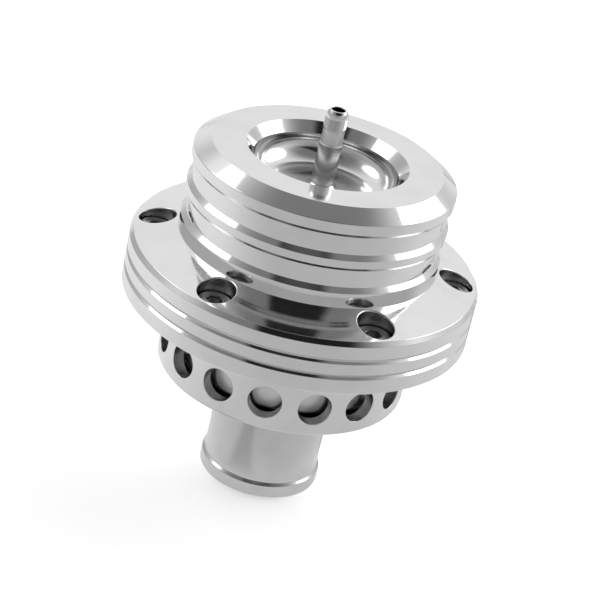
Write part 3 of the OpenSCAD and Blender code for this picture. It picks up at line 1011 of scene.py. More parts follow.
@dataclass
class Nipple:
    """Vacuum hose nipple with its sealing ring."""

    span: Span = solid("vacuum_nipple")
    bore_r: float = 1.4
    stem_r: float = 2.4
    neck_r: float = 2.25
    length: float = 17.3
    head_h: float = 4.3
    neck_h: float = 3.2
    neck_ramp: float = 0.3
    dome: tuple[float, float, float] = (0.6, 0.9, 2.2)
    foot_h: float = 0.5
    thread_r: float = 2.5
    pitch: float = 0.8
    relief_r: float = 1.9
    seal: float = 0.9
    tip_edge: float = 0.25
    foot_edge: float = 0.12
    head_edge: float = 0.08
    dome_edge: float = 0.15
    mouth_edge: float = 0.12

    def build(self) -> None:
        """Makes the nipple and the ring under its foot."""
        low, top, foot_r = self.span.low, self.span.high, self.span.radius
        floor = top - self.length
        head = top - self.head_h
        neck = head - self.neck_h
        dome_in, dome_h, dome_r = self.dome
        profile = Profile(
            [
                (self.bore_r, low, BROKEN),
                (self.thread_r, low, self.tip_edge, "thread"),
                (self.thread_r, floor - self.seal, SHARP),
                (self.relief_r, floor - self.seal, SHARP),
                (self.relief_r, floor, SHARP),
                (foot_r, floor, SHARP),
                (foot_r, floor + self.foot_h, self.foot_edge),
                (self.stem_r, floor + self.foot_h + foot_r - self.stem_r, ROUNDED, "stem"),
                (self.stem_r, neck, BROKEN, "groove"),
                (self.neck_r, neck + self.neck_ramp, BROKEN),
                (self.neck_r, head, self.head_edge),
                (self.stem_r, head, BROKEN),
                (self.stem_r, top - dome_h, dome_r),
                (self.stem_r - dome_in, top, self.dome_edge),
                (self.bore_r, top, self.mouth_edge),
            ]
        )
        skin = Skin()
        skin.turned(profile, AROUND_SMALL, ("thread",), {"stem": 0.5, "groove": 0.0})
        skin.thread(profile, "thread", self.pitch, AROUND_SMALL)
        dress(skin.piece("hose_nipple"), "vacuum_nipple", Finishes.NIPPLE, Body.HOUSING)
        half = self.seal / 2
        ring = ring_section(self.relief_r + half, self.seal, floor - half)
        turn_piece("nipple_ring", "nipple_seal", ring, Finishes.SEAL, Body.HOUSING, AROUND_SMALL)


def flats(across: float, steps: int = 8) -> Iterator[tuple[Array, Array, Array]]:
    """Walks round a hexagon with a corner on +X.

    The radius is half the width across flats over the cosine of the angle from the flat's middle.

    Args:
        across: Width across flats.
        steps: Quads along a flat.

    Yields:
        For each flat, the angles and radii of its points and the direction that it faces.
    """
    local = np.radians(np.linspace(-30.0, 30.0, steps + 1))
    radius = across / 2 / np.cos(local)
    for middle in np.radians(30.0 + 60.0 * np.arange(6)):
        yield middle + local, radius, np.array([math.cos(middle), math.sin(middle), 0.0])


@dataclass
class SocketScrew:
    """A socket head screw that stands on its seat at height 0, its head up."""

    head_r: float
    head_h: float
    shank_r: float
    length: float
    socket: float
    socket_depth: float
    pitch: float
    teeth: int = 36
    tooth: float = 0.09
    tooth_fade: float = 0.3
    rim_gap: float = 0.15
    lead: float = 0.1
    cone: float = 0.25
    seat_edge: float = 0.12
    head_edge: float = 0.35

    def skin(self) -> Skin:
        """Makes the head with its grip teeth and hexagon socket, and the threaded shank."""
        around = 4 * self.teeth
        rim = self.socket / 2 / math.cos(math.radians(30)) + self.rim_gap
        profile = Profile(
            [
                (0.0, -self.length, 0.0),
                (self.shank_r, -self.length, ROUNDED, "shank"),
                (self.shank_r, 0.0, self.seat_edge),
                (self.head_r, 0.0, self.seat_edge, "grip"),
                (self.head_r, self.head_h, self.head_edge),
                (rim, self.head_h, SHARP, "rim"),
                (0.0, self.head_h, 0.0, "axis"),
            ]
        )
        skin = Skin()
        skin.turned(profile, around, ("shank", "grip", "rim", "axis"))
        skin.thread(profile, "shank", self.pitch, around)
        (_, low), (_, high), _ = profile.stretch("grip")
        angle = np.linspace(0.0, TURN, around + 1)
        z = np.linspace(low, high, FACE_ROWS)[:, None]
        fade = np.clip(np.minimum(z - low, high - z) / self.tooth_fade, 0.0, 1.0)
        r = self.head_r - self.tooth * np.abs(np.sin(angle * self.teeth / 2)) * fade
        teeth = polar(r, angle, z)
        skin.grid(teeth, unit(teeth * [1.0, 1.0, 0.0]))
        self._socket(skin, profile.stretch("rim")[0])
        return skin

    def _socket(self, skin: Skin, rim: Array) -> None:
        """Fills the head's rim with a hexagon socket that ends in a shallow drilled cone."""
        reach, top = rim
        floor = self.head_h - self.socket_depth
        for a, r, facing in flats(self.socket):
            rows = [
                polar(reach, a, top),
                polar(r + self.lead, a, top),
                polar(r, a, top - self.lead),
                polar(r, a, floor),
                polar(0.0, a, floor - self.cone * self.socket),
            ]
            skin.strips(rows, [UP, unit(UP - facing), -facing, unit(UP - 2 * self.cone * facing)])


@dataclass
class CoverScrews:
    """The ring of screws that holds the cover down."""

    circle: ScrewCircle
    cover: Span = solid("upper_cover")

    def build(self) -> None:
        """Makes one screw and sets copies of it in the counterbores."""
        screw = SocketScrew(
            head_r=3.5, head_h=4.0, shank_r=2.0, length=6.0, socket=3.0, socket_depth=2.0, pitch=0.7
        ).skin()
        ring = Skin()
        seat = self.cover.low + self.circle.head_web
        for k in range(self.circle.count):
            turn = Matrix.Rotation(TURN * k / self.circle.count, 4, "Z")
            ring.add(screw, turn @ Matrix.Translation((self.circle.radius, 0.0, seat)))
        dress(ring.piece("cap_screws"), "cover_screws", Finishes.SCREW, Body.HOUSING)


@dataclass
class VentedBody:
    """Body with the ring of vents, the lower flange and the piston's guide ring."""

    screws: ScrewCircle
    span: Span = solid("vent_body")
    guide: Span = solid("guide_ring")
    body_r: float = 26.75
    body_round: float = 0.9
    wall_r: float = 24.15
    flange_t: float = 4.05
    flange_chamfer: float = 0.3
    groove: float = 0.7
    rim_r: float = 29.35
    rim_t: float = 1.2
    bead_r: float = 0.95
    bead_round: float = 0.94
    guide_r: float = 23.7
    guide_len: float = 8.1
    guide_in_r: float = 23.3
    lintel: float = 0.45
    floor_t: float = 2.1
    boss: tuple[float, float, float] = (14.05, 17.0, 5.2)
    seal_pocket: float = 1.5
    vent_count: int = 16
    vent_r: float = 3.5
    vent_edge: float = 0.2
    vent_sill: float = 0.8
    vent_turn: float = -4.25
    flange_root: float = 0.12
    groove_edge: float = 0.13
    rim_edge: float = 0.08
    guide_lead: float = 0.15
    guide_edge: float = 0.2
    boss_edge: float = 0.15
    ring_edge: float = 0.2

    def profile(self) -> Profile:
        """The half section, from the spigot's seat out, up the outside and down the guide."""
        z, top, out = self.span.low, self.span.high, self.span.radius
        thread_r, boss_r, boss_h = self.boss
        flange = top - self.flange_t
        rim = top - self.rim_t
        guide = rim - self.guide_len
        floor = z + self.floor_t
        bead = rim - self.bead_r
        bead_in = self.rim_r - 2 * self.bead_r
        boss = z + boss_h
        slot_r = self.guide.radius + FIT
        slot_low, slot_high = self.guide.low - FIT, self.guide.high + FIT
        chamfer = self.flange_chamfer
        return Profile(
            [
                (thread_r, z + self.seal_pocket, SHARP),
                (thread_r + self.seal_pocket, z + self.seal_pocket, SHARP),
                (thread_r + self.seal_pocket, z, BROKEN),
                (self.body_r, z, self.body_round, "outside"),
                (self.body_r, flange, self.flange_root, "underside"),
                (out - chamfer, flange, BROKEN),
                (out, flange + chamfer, BROKEN),
                (out, top - self.groove, self.groove_edge),
                (out - self.groove, top, BROKEN, "top"),
                (self.rim_r, top, self.rim_edge),
                (self.rim_r, bead, self.bead_round),
                (bead_in, bead, self.bead_round),
                (bead_in, rim, SHARP),
                (self.guide_r, rim, self.guide_lead),
                (self.guide_r, slot_high, SHARP),
                (slot_r, slot_high, SHARP),
                (slot_r, slot_low, SHARP),
                (self.guide_r, slot_low, SHARP),
                (self.guide_r, guide, self.guide_edge),
                (self.wall_r, guide - self.lintel, SHARP, "inside"),
                (self.wall_r, floor, ROUNDED),
                (boss_r + boss - floor, floor, ROUNDED),
                (boss_r, boss, self.boss_edge),
                (thread_r, boss, BROKEN),
            ]
        )

    def build(self) -> None:
        """Makes the body with its vents and tapped holes, and the plastic guide ring."""
        profile = self.profile()
        skin = Skin()
        skin.turned(profile, skip=("outside", "underside", "top", "inside"), raw={"top": 1.0})
        height = self.span.low + self.floor_t + self.vent_sill + self.vent_r
        vents, within = (
            Holes(self.vent_count, self.vent_r, height, Drill.ACROSS, edge, self.vent_turn)
            for edge in (self.vent_edge, BROKEN)
        )
        mouth = skin.pierced(profile, "outside", vents)
        throat = skin.pierced(profile, "inside", within, 1.0)
        skin.bore(vents, mouth, throat)
        tapped = self.screws.holes(*self.screws.tapped)
        below, above = (skin.pierced(profile, face, tapped) for face in ("underside", "top"))
        skin.bore(tapped, below, above)
        dress(skin.piece("vented_body"), "vent_body", Finishes.POLISHED, Body.HOUSING)
        ring = self.guide.ring(self.guide_in_r, self.ring_edge)
        turn_piece("piston_guide", "guide_ring", ring, Finishes.WHITE, Body.HOUSING)


@dataclass
class Spigot:
    """Hose spigot with its lip, spanner collar, thread and valve seat, and its sealing ring."""

    span: Span = solid("inlet_spigot")
    body: Span = solid("vent_body")
    bore_r: float = 10.5
    neck_r: float = 12.5
    neck_len: float = 21.5
    lip_r: float = 13.1
    lip_h: float = 3.4
    lip_edge: float = 0.35
    collar_r: float = 15.9
    thread_r: float = 14.0
    thread_len: float = 5.2
    pitch: float = 1.0
    seat: Pair = (11.1, 12.3)
    collar_lead: float = 0.1
    collar_slope: float = 0.5
    seal: float = 1.5
    seal_gap: float = 0.02

    def build(self) -> None:
        """Makes the spigot and the ring above its collar."""
        z, boss, top = self.body.low, self.body.low + self.thread_len, self.span.high
        seat_in, seat_out = self.seat
        profile = Profile(
            [
                (self.bore_r, self.span.low, ROUNDED),
                (self.lip_r, self.span.low, self.lip_edge),
                (self.lip_r, self.lip_h - self.lip_r + self.neck_r, ROUNDED),
                (self.neck_r, self.lip_h, ROUNDED),
                (self.neck_r, self.neck_len, BROKEN, "collar"),
                (self.thread_r, z, SHARP, "thread"),
                (self.thread_r, boss, ROUNDED),
                (seat_out, boss, SHARP),
                (seat_out, top, BROKEN),
                (seat_in, top, BROKEN),
                (self.bore_r, top - seat_in + self.bore_r, BROKEN),
            ]
        )
        skin = Skin()
        skin.turned(profile, skip=("collar", "thread"))
        skin.thread(profile, "thread", self.pitch, AROUND)
        self._collar(skin, profile.stretch("collar"))
        dress(skin.piece("hose_spigot"), "inlet_spigot", Finishes.SATIN, Body.HOUSING)
        half = self.seal / 2
        ring = ring_section(self.thread_r + half + self.seal_gap, self.seal, z + half)
        turn_piece("spigot_ring", "spigot_seal", ring, Finishes.SEAL, Body.HOUSING)

    def _collar(self, skin: Skin, gap: tuple[Array, Array, Array]) -> None:
        """Closes a gap in the spigot's side with a hexagon collar whose lower corners are turned off."""
        (low_r, low), (high_r, high), _ = gap
        under = low + self.collar_lead
        for a, r, facing in flats(2 * self.collar_r, AROUND // 6):
            rows = [
                polar(low_r, a, low),
                polar(self.collar_r, a, under),
                polar(r, a, under + self.collar_slope * (r - self.collar_r)),
                polar(r, a, high),
                polar(high_r, a, high),
            ]
            skin.strips(rows, [-UP, unit(polar(self.collar_slope, a, -1.0)), facing, UP])


@dataclass
class Valve:
    """What slides: piston, face seal, stem and the plates that clamp the diaphragm."""

    piston: Span = solid("valve_piston")
    seal: Span = solid("face_seal")
    retainer: Span = solid("seal_retainer")
    stem: Span = solid("stem_bolt")
    plate: Span = solid("diaphragm_plate")
    cup: Span = solid("spring_cup")
    washer: Span = solid("stem_washer")
    nut: Span = solid("stem_nut")
    stem_seal: Span = solid("stem_seal")
    stem_r: float = 3.0
    hole_r: float = 3.1
    wall: float = 1.8
    skirt_round: float = 0.7
    hub_r: float = 6.0
    web_t: float = 4.0
    seal_proud: float = 0.5
    seal_hole_r: float = 5.4
    seal_section: float = 1.6
    seal_gap: float = 0.03
    head_h: float = 3.3
    cup_t: float = 1.5
    cup_rim: Pair = (18.5, 17.0)
    nut_across: float = 10.0
    nut_cone: float = 0.58
    nut_facing: Pair = (0.5, 0.87)
    seal_edge: float = 0.25
    plate_edge: float = 0.25
    washer_edge: float = 0.12
    skirt_edge: float = 0.15
    web_root: float = 0.4
    rim_edge: float = 0.15

    def build(self) -> None:
        """Makes every piece that rides on the valve."""
        seal = self.stem_seal
        middle = seal.radius - self.seal_section / 2
        ring = ring_section(middle, self.seal_section, (seal.low + seal.high) / 2)
        face = self.seal.ring(self.seal_hole_r, self.seal_edge)
        plate = self.plate.ring(self.hole_r, self.plate_edge)
        washer = self.washer.ring(self.hole_r, self.washer_edge)
        pieces = (
            ("piston_cup", "valve_piston", self.piston_section(), Finishes.TURNED),
            ("seat_washer", "face_seal", face, Finishes.SEAL),
            ("seal_holder", "seal_retainer", self.retainer_section(), Finishes.TURNED),
            ("backing_plate", "diaphragm_plate", plate, Finishes.TURNED),
            ("spring_seat", "spring_cup", self.cup_section(), Finishes.TURNED),
            ("flat_washer", "stem_washer", washer, Finishes.SCREW),
            ("stem_ring", "stem_seal", ring, Finishes.SEAL),
        )
        for name, node, section, finish in pieces:
            turn_piece(name, node, section, finish, Body.VALVE)
        dress(self.nut_skin().piece("lock_nut"), "stem_nut", Finishes.SCREW, Body.VALVE)
        screw = SocketScrew(
            head_r=self.stem.radius,
            head_h=self.head_h,
            shank_r=self.stem_r,
            length=self.stem.high - self.stem.low - self.head_h,
            socket=4.0,
            socket_depth=1.98,
            pitch=1.0,
        )
        bolt = Skin()
        seat = Matrix.Translation((0.0, 0.0, self.stem.low + self.head_h))
        bolt.add(screw.skin(), seat @ Matrix.Rotation(math.pi, 4, "X"))
        dress(bolt.piece("stem_screw"), "stem_bolt", Finishes.SCREW, Body.VALVE)

    def piston_section(self) -> Profile:
        """Cup that slides behind the vents, with a pocket for the face seal and a hub."""
        low, high, out = self.piston.low, self.piston.high, self.piston.radius
        inner = out - self.wall
        web = self.seal.low + self.seal_proud
        pocket = self.seal.high
        web_top = web + self.web_t
        seat_r = self.seal.radius + FIT
        ring_r = self.stem_seal.radius + self.seal_gap
        return Profile(
            [
                (self.hole_r, pocket + self.seal_section, SHARP),
                (ring_r, pocket + self.seal_section, SHARP),
                (ring_r, pocket, SHARP),
                (seat_r, pocket, SHARP),
                (seat_r, web, BROKEN),
                (inner, web, ROUNDED),
                (inner, low, BROKEN),
                (out, low, self.skirt_round),
                (out, high, self.skirt_edge),
                (inner, high, BROKEN),
                (inner, web_top, self.web_root),
                (self.hub_r, web_top, self.web_root),
                (self.hub_r, high, BROKEN),
                (self.hole_r, high, BROKEN),
            ]
        )

    def retainer_section(self) -> Profile:
        """Stepped disc that holds the face seal."""
        low, high, out = self.retainer.low, self.retainer.high, self.retainer.radius
        spacer = self.seal_hole_r - FIT
        return Profile(
            [
                (self.hole_r, low, BROKEN),
                (out, low, ROUNDED),
                (out, self.seal.low, BROKEN),
                (spacer, self.seal.low, SHARP),
                (spacer, high, SHARP),
                (self.hole_r, high, SHARP),
            ]
        )

    def cup_section(self) -> Profile:
        """Flanged cup that centres the spring."""
        low, high, out = self.cup.low, self.cup.high, self.cup.radius
        rim_out, rim_in = self.cup_rim
        step = low + self.cup_t
        return Profile(
            [
                (self.hole_r, low, BROKEN),
                (out, low, ROUNDED),
                (out, step, BROKEN),
                (rim_out, step, BROKEN),
                (rim_out, high, self.rim_edge),
                (rim_in, high, ROUNDED),
                (rim_in, step, BROKEN),
                (self.hole_r, step, BROKEN),
            ]
        )

    def nut_skin(self) -> Skin:
        """Nut whose corners are turned off by a cone at both ends."""
        skin = Skin()
        bore, flat_r = self.stem_r + FIT, self.nut_across / 2
        low, high = self.nut.low, self.nut.high
        for a, r, facing in flats(self.nut_across, steps=12):
            drop = self.nut_cone * (r - flat_r)
            rows = [
                polar(bore, a, low),
                polar(flat_r, a, low),
                polar(r, a, low + drop),
                polar(r, a, high - drop),
                polar(flat_r, a, high),
                polar(bore, a, high),
                polar(bore, a, low),
            ]
            slant = unit(polar(self.nut_facing[0], a, self.nut_facing[1]))
            bored = -polar(1.0, a, 0.0)
            skin.strips(rows, [-UP, slant * [1.0, 1.0, -1.0], facing, slant, UP, bored])
        return skin


@dataclass
class Diaphragm:
    """Rubber sheet with a rolled fold."""

    rim: Span = solid("diaphragm")
    thick: float = 1.2
    bead: float = 1.8
    hole_r: float = 3.1
    fold: Pair = (21.3, 25.2)
    root: float = 0.5
    fold_round: float = 0.99
    bead_round: float = 0.49

    def build(self) -> None:
        """Makes the sheet.

        The mesh is briefly laid out as a strip along +X by radius, and then takes its folded form again.
        """
        out, top = self.rim.radius, self.rim.high
        low = self.rim.low + self.bead / 2
        high = low + self.thick
        inner, outer = self.fold
        half, t = (outer - inner) / 2, self.thick
        hollow = half - t
        bead_in = out - self.bead
        inside, outside = self.fold_round * hollow, self.fold_round * half
        bead = self.bead_round * self.bead
        section = Profile(
            [
                (self.hole_r, low, BROKEN),
                (inner + t, low, self.root),
                (inner + t, top - t, inside),
                (outer - t, top - t, inside),
                (outer - t, low, self.root),
                (bead_in, low, SHARP),
                (bead_in, self.rim.low, bead),
                (out, self.rim.low, bead),
                (out, high, BROKEN),
                (outer, high, ROUNDED),
                (outer, top, outside),
                (inner, top, outside),
                (inner, high, ROUNDED),
                (self.hole_r, high, BROKEN),
            ]
        )
        sheet = turn_piece("rolling_diaphragm", "diaphragm", section, Finishes.DIAPHRAGM, None)
        vertices = sheet.data.vertices
        folded = np.empty(3 * len(vertices))
        vertices.foreach_get("co", folded)
        points = folded.reshape(-1, 3)
        strip = np.zeros_like(points)
        strip[:, 0] = np.hypot(points[:, 0], points[:, 1])
        vertices.foreach_set("co", strip.ravel())
        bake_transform(sheet)
        sheet.data.vertices.foreach_set("co", folded)
        sheet.data.update()


@dataclass
class ReturnSpring:
    """Compression spring with closed, ground ends, and the pad above it."""

    span: Span = solid("return_spring")
    pad: Span = solid("spring_pad")
    pad_in_r: float = 13.9
    pad_edge: float = 0.15
    wire: float = 1.8
    turns: float = 4.5
    closed_pitch: float = 1.08
    ground_share: float = 0.2
    lift: float = 8.0
    turn_steps: int = 48
    wire_steps: int = 16

    def build(self) -> None:
        """Makes the coil and the pad.

        The wire's centre is at (R cos a, R sin a). It climbs by the closed pitch, in wires, in the first
        and the last turn, and evenly between them. The round section stands in the radial plane, and a
        share of the wire is ground off at each end.
        """
        low, high, half = self.span.low, self.span.high, self.wire / 2
        middle = self.span.radius - half
        ground = self.ground_share * self.wire
        turn = np.linspace(0.0, self.turns, int(self.turn_steps * self.turns) + 1)[:, None]
        closed, climb = self.closed_pitch * self.wire, high - low - self.wire + 2 * ground
        knots = [0.0, 1.0, self.turns - 1.0, self.turns]
        z = np.interp(turn, knots, [0.0, closed, climb - closed, climb]) + low + half - ground
        a, b = TURN * turn, np.linspace(0.0, TURN, self.wire_steps + 1)
        height = z + half * np.sin(b)
        coil = polar(middle + half * np.cos(b), a, np.clip(height, low, high))
        facing = polar(np.cos(b), a, np.sin(b))
        cut = ((height < low) | (height > high))[..., None]
        facing = np.where(cut, np.sign(facing) * UP, facing)
        skin = Skin()
        skin.grid(coil, facing)
        for row, way in ((0, -1.0), (-1, 1.0)):
            tangent = way * np.array([-math.sin(a[row, 0]), math.cos(a[row, 0]), 0.0])
            centre = np.broadcast_to(coil[row, :-1].mean(0), coil[row].shape)
            skin.grid(np.stack([coil[row], centre]), tangent)
        spring = dress(skin.piece("coil_spring"), "return_spring", Finishes.SPRING, Body.HOUSING)
        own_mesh(spring)
        pad = self.pad.ring(self.pad_in_r, self.pad_edge)
        turn_piece("slip_pad", "spring_pad", pad, Finishes.WHITE, Body.HOUSING)


@dataclass(frozen=True)
class Softbox:
    """An oval lamp aimed at the valve.

    Attributes:
        name: Name of the lamp.
        azimuth: Degrees from +X towards +Y.
        elevation: Degrees above the floor.
        width: Width in metres.
        height: Height in metres.
        level: Brightness of its face, where 1 is white.
        halo: Brightness of the wall close round it, above the rest of the wall.
        distance: How far from the valve it hangs, in metres.
    """

    name: str
    azimuth: float
    elevation: float
    width: float
    height: float
    level: float
    halo: float
    distance: float = 0.9

    def way(self) -> Vector:
        """Direction from the valve to the lamp."""
        a, e = math.radians(self.azimuth), math.radians(self.elevation)
        return Vector((math.cos(a) * math.cos(e), math.sin(a) * math.cos(e), math.sin(e)))

    def hang(self, aim: Vector) -> None:
        """Hangs the lamp so that it faces a point."""
        out = self.way()
        lamp = bpy.data.lights.new(self.name, "AREA")
        lamp.shape = "ELLIPSE"
        lamp.size, lamp.size_y = self.width, self.height
        lamp.energy = self.level * math.pi * (math.pi / 4 * self.width * self.height)
        holder = bpy.data.objects.new(self.name, lamp)
        holder.location = aim + out * self.distance
        holder.rotation_euler = out.to_track_quat("Z", "Y").to_euler()
        bpy.context.collection.objects.link(holder)


@dataclass(frozen=True)
class Room:
    """What the valve mirrors: a bright back wall, dim sides, front and ceiling, and a dark panel.

    An edge is a pair of levels of a direction's x, y or z between which a surface fades.

    Attributes:
        wall: Brightness of the back wall.
        ceiling: Brightness of the ceiling.
        tilt: Degrees by which the ceiling leans forward.
        ceiling_edge: Lower edge of the ceiling, along its tilted upright.
        dim: How much darker the front and the sides are.
        front: Edges of the front wall along y and z.
        left: Edges of the left side along x and z.
        right: Edges of the right side along x and z.
        right_share: How much of the dimming reaches the right side.
        halo: Angles from a lamp between which its halo fades, in radians.
        panel_left: Left edge of the panel high over the camera, along x.
        panel_right: Its right edge, along x plus the slant times z.
        panel_slant: Slant of that edge.
        panel_low: Its lower edge, along z.
        panel_high: Its upper edge, along z.
        panel_back: Its edge towards the back wall, along y.
        panel_dark: How much of the light it takes away.
    """

    wall: float = 0.83
    ceiling: float = 0.2
    tilt: float = 25.0
    ceiling_edge: Pair = (0.4, 0.88)
    dim: float = 0.46
    front: tuple[Pair, Pair] = ((0.1, 0.55), (0.15, 0.5))
    left: tuple[Pair, Pair] = ((-0.7, -0.4), (0.4, 0.62))
    right: tuple[Pair, Pair] = ((0.3, 0.6), (0.3, 0.5))
    right_share: float = 0.6
    halo: Pair = (0.6, 0.25)
    panel_left: Pair = (-0.33, -0.24)
    panel_right: Pair = (1.61, 1.71)
    panel_slant: float = 1.6
    panel_low: Pair = (0.58, 0.62)
    panel_high: Pair = (0.86, 0.95)
    panel_back: Pair = (-0.05, 0.05)
    panel_dark: float = 0.93

    def build(self, softboxes: Sequence[Softbox]) -> None:
        """Fills the world, which is plain white to the camera itself.

        Args:
            softboxes: The lamps, for their halos.
        """
        world = bpy.data.worlds.new("studio_room")
        world.use_nodes = True
        bpy.context.scene.world = world
        graph = Graph(world.node_tree)
        way = graph.value("ShaderNodeTexCoord", None, None, "Generated")
        x, y, z = graph.split(way)
        tilt = math.radians(self.tilt)
        overhead = (z * math.cos(tilt) - y * math.sin(tilt)).between(*self.ceiling_edge)
        front = y.below(*self.front[0]) * z.below(*self.front[1])
        left = x.below(*self.left[0]) * z.below(*self.left[1])
        right = x.between(*self.right[0]) * z.below(*self.right[1]) * self.right_share
        sides = 1.0 - (1.0 - front) * (1.0 - left) * (1.0 - right)
        level = self.wall + overhead * (self.ceiling - self.wall)
        level = level * (1.0 - self.dim * sides)
        far, close = (math.cos(angle) for angle in self.halo)
        for softbox in softboxes:
            towards = {0: way, 1: tuple(softbox.way())}
            near = graph.value("ShaderNodeVectorMath", {"operation": "DOT_PRODUCT"}, towards, "Value")
            level = level + softbox.halo * near.between(far, close)
        across = x.between(*self.panel_left) * (x + self.panel_slant * z).below(*self.panel_right)
        tall = z.between(*self.panel_low) * z.below(*self.panel_high)
        panel = across * tall * y.below(*self.panel_back)
        level = level * (1.0 - self.panel_dark * panel)
        strength = level + graph.ray("Is Camera Ray") * (1.0 - level)
        shader = graph.node("ShaderNodeBackground", None, {"Color": grey(1.0), "Strength": strength})
        graph.node("ShaderNodeOutputWorld", None, {"Surface": shader.outputs[0]})


@dataclass(frozen=True)
class Floor:
    """Paper that is white to the camera, keeps the shadow, and in mirrored light glows a little and shows
    a strip of painted shade.

    Places are in metres, and an edge is a pair of places between which something fades.

    Attributes:
        half: Half its width.
        drop: How far it lies below the valve.
        paper: Grey of the paper.
        white: Grey that the camera sees.
        painted_shade_grey: Grey of a strip of painted shade in front, which shows in mirrored light only.
        strip_across: Direction across the strip, in x and y.
        strip_sides: The strip's two long edges, across it.
        strip_front: Its front edge, along y.
        strip_end: Its end near the valve, by the distance from the axis.
        back_glow: Glow of the floor behind the valve.
        back_lean: How the front edge of that glow leans, in y for each x.
        back_edge: That edge, along y.
        right_loss: How much fainter it is on the right.
        right_edge: Where it grows fainter, along x.
        foot_glow: Glow close round the valve's foot.
        foot_edge: Where that ends, by the distance from the axis.
    """

    half: float = 4.0
    drop: float = 0.00005
    paper: float = 0.83
    white: float = 2.2
    painted_shade_grey: float = 0.5
    strip_across: Pair = (0.812, -0.584)
    strip_sides: tuple[Pair, Pair] = ((-0.007, 0.0), (0.007, 0.014))
    strip_front: Pair = (-0.06, -0.045)
    strip_end: Pair = (0.017, 0.022)
    back_glow: float = 0.32
    back_lean: float = 0.17
    back_edge: Pair = (-0.14, 0.02)
    right_loss: float = 0.13
    right_edge: Pair = (-0.1, 0.05)
    foot_glow: float = 0.1
    foot_edge: Pair = (0.018, 0.03)

    def build(self) -> None:
        """Lays the floor."""
        mesh = bpy.data.meshes.new("studio_floor")
        signs = ((-1, -1), (1, -1), (1, 1), (-1, 1))
        corners = [(a * self.half, b * self.half, -self.drop) for a, b in signs]
        mesh.from_pydata(corners, [], [(0, 1, 2, 3)])
        floor = bpy.data.objects.new("studio_floor", mesh)
        bpy.context.collection.objects.link(floor)
        paper = bpy.data.materials.new("white_paper")
        paper.use_nodes = True
        self._shade(Graph(paper.node_tree))
        mesh.materials.append(paper)

    def _shade(self, graph: Graph) -> None:
        """Fills the paper's tree."""
        mirrored = graph.ray("Is Glossy Ray")
        x, y, _ = graph.split(graph.value("ShaderNodeTexCoord", None, None, "Object"))
        out = (x * x + y * y) ** 0.5
        # Painted shade: in mirrored light only, the paper is darker along a strip in front of the valve
        across = self.strip_across[0] * x + self.strip_across[1] * y
        strip = across.between(*self.strip_sides[0]) * across.below(*self.strip_sides[1])
        strip = strip * y.between(*self.strip_front) * out.between(*self.strip_end)
        colour = graph.blend(strip * mirrored, grey(self.paper), grey(self.painted_shade_grey))
        colour = graph.blend(graph.ray("Is Camera Ray"), colour, grey(self.white))
        behind = (y - self.back_lean * x).between(*self.back_edge)
        glow = behind * (self.back_glow - self.right_loss * x.between(*self.right_edge))
        glow = mirrored * (glow + self.foot_glow * out.below(*self.foot_edge))
        diffuse = graph.node("ShaderNodeBsdfDiffuse", None, {"Color": colour})
        light = graph.node("ShaderNodeEmission", None, {"Color": grey(1.0), "Strength": glow})
        both = graph.node("ShaderNodeAddShader", None, {0: diffuse.outputs[0], 1: light.outputs[0]})
        graph.node("ShaderNodeOutputMaterial", None, {"Surface": both.outputs[0]})


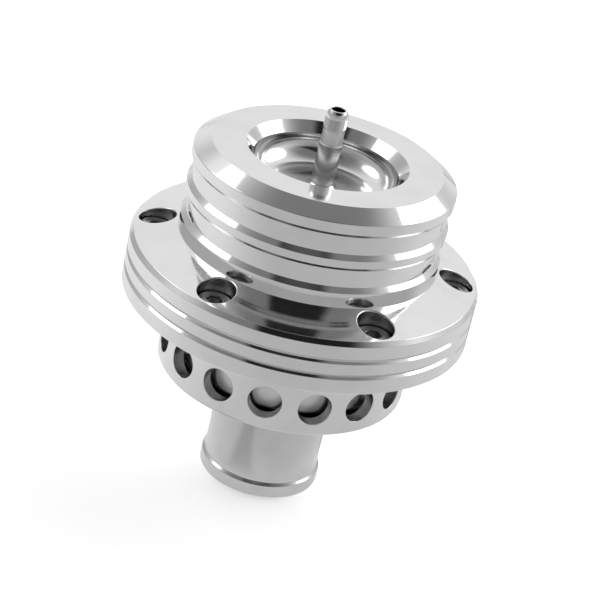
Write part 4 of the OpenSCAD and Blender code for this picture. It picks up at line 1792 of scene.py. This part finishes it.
@dataclass
class Studio:
    """Pale floor, two softboxes, the room round them and the camera.

    Attributes:
        aim: Point that the lamps face, in metres.
        softboxes: The lamps.
        room: What the valve mirrors.
        floor: What it stands on.
        camera_mm: Place of the camera, in millimetres.
        camera_down: Degrees by which it looks down.
        camera_roll: Degrees by which it is rolled.
        camera_turn: Degrees by which it is turned about the upright.
        focal_px: Focal length in pixels of the photograph.
        image_px: Width of the photograph in pixels.
        sensor_mm: Width of the sensor, in millimetres.
        clip: Nearest and farthest distance that is drawn, in metres.
    """

    aim: Vector = field(default_factory=lambda: Vector((0.0, 0.0, 0.05)))
    softboxes: tuple[Softbox, ...] = (
        Softbox(
            "softbox_left", azimuth=168.0, elevation=42.5, width=0.52, height=0.41, level=1.5, halo=0.08
        ),
        Softbox(
            "softbox_right", azimuth=29.0, elevation=36.0, width=0.73, height=0.53, level=1.5, halo=0.12
        ),
    )
    room: Room = Room()
    floor: Floor = Floor()
    camera_mm: tuple[float, float, float] = (-6.64, -348.12, 220.21)
    camera_down: float = 27.104
    camera_roll: float = 12.909
    camera_turn: float = -1.25
    focal_px: float = 1850.0
    image_px: float = 600.0
    sensor_mm: float = 36.0
    clip: Pair = (0.01, 50.0)

    def build(self) -> None:
        """Sets up light, room, floor and camera."""
        for softbox in self.softboxes:
            softbox.hang(self.aim)
        self.room.build(self.softboxes)
        self.floor.build()
        self._camera()

    def _camera(self) -> None:
        """The camera as it was fitted to the photograph's turned edges."""
        down, roll = math.radians(self.camera_down), math.radians(self.camera_roll)
        level, rise = Vector((1.0, 0.0, 0.0)), Vector((0.0, math.sin(down), math.cos(down)))
        right = math.cos(roll) * level + math.sin(roll) * rise
        up = math.cos(roll) * rise - math.sin(roll) * level
        axes = Matrix((right, up, right.cross(up))).transposed()
        turned = Matrix.Rotation(math.radians(self.camera_turn), 3, "Z") @ axes
        lens = bpy.data.cameras.new("photo_camera")
        lens.sensor_width = self.sensor_mm
        lens.lens = self.focal_px / self.image_px * self.sensor_mm
        lens.clip_start, lens.clip_end = self.clip
        camera = bpy.data.objects.new("photo_camera", lens)
        camera.matrix_world = Matrix.Translation(Vector(self.camera_mm) * MM) @ turned.to_4x4()
        bpy.context.collection.objects.link(camera)
        bpy.context.scene.camera = camera


def main() -> None:
    """Loads the frame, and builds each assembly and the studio."""
    logging.basicConfig(level=logging.INFO, format="%(name)s: %(message)s")
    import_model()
    circle = ScrewCircle()
    assemblies = (
        Cover(circle),
        Nipple(),
        CoverScrews(circle),
        VentedBody(circle),
        Spigot(),
        Valve(),
        Diaphragm(),
        ReturnSpring(),
        Studio(),
    )
    for assembly in assemblies:
        LOG.info("building %s", type(assembly).__name__)
        assembly.build()
    bpy.context.scene.view_settings.view_transform = "Standard"


if __name__ == "__main__":
    main()
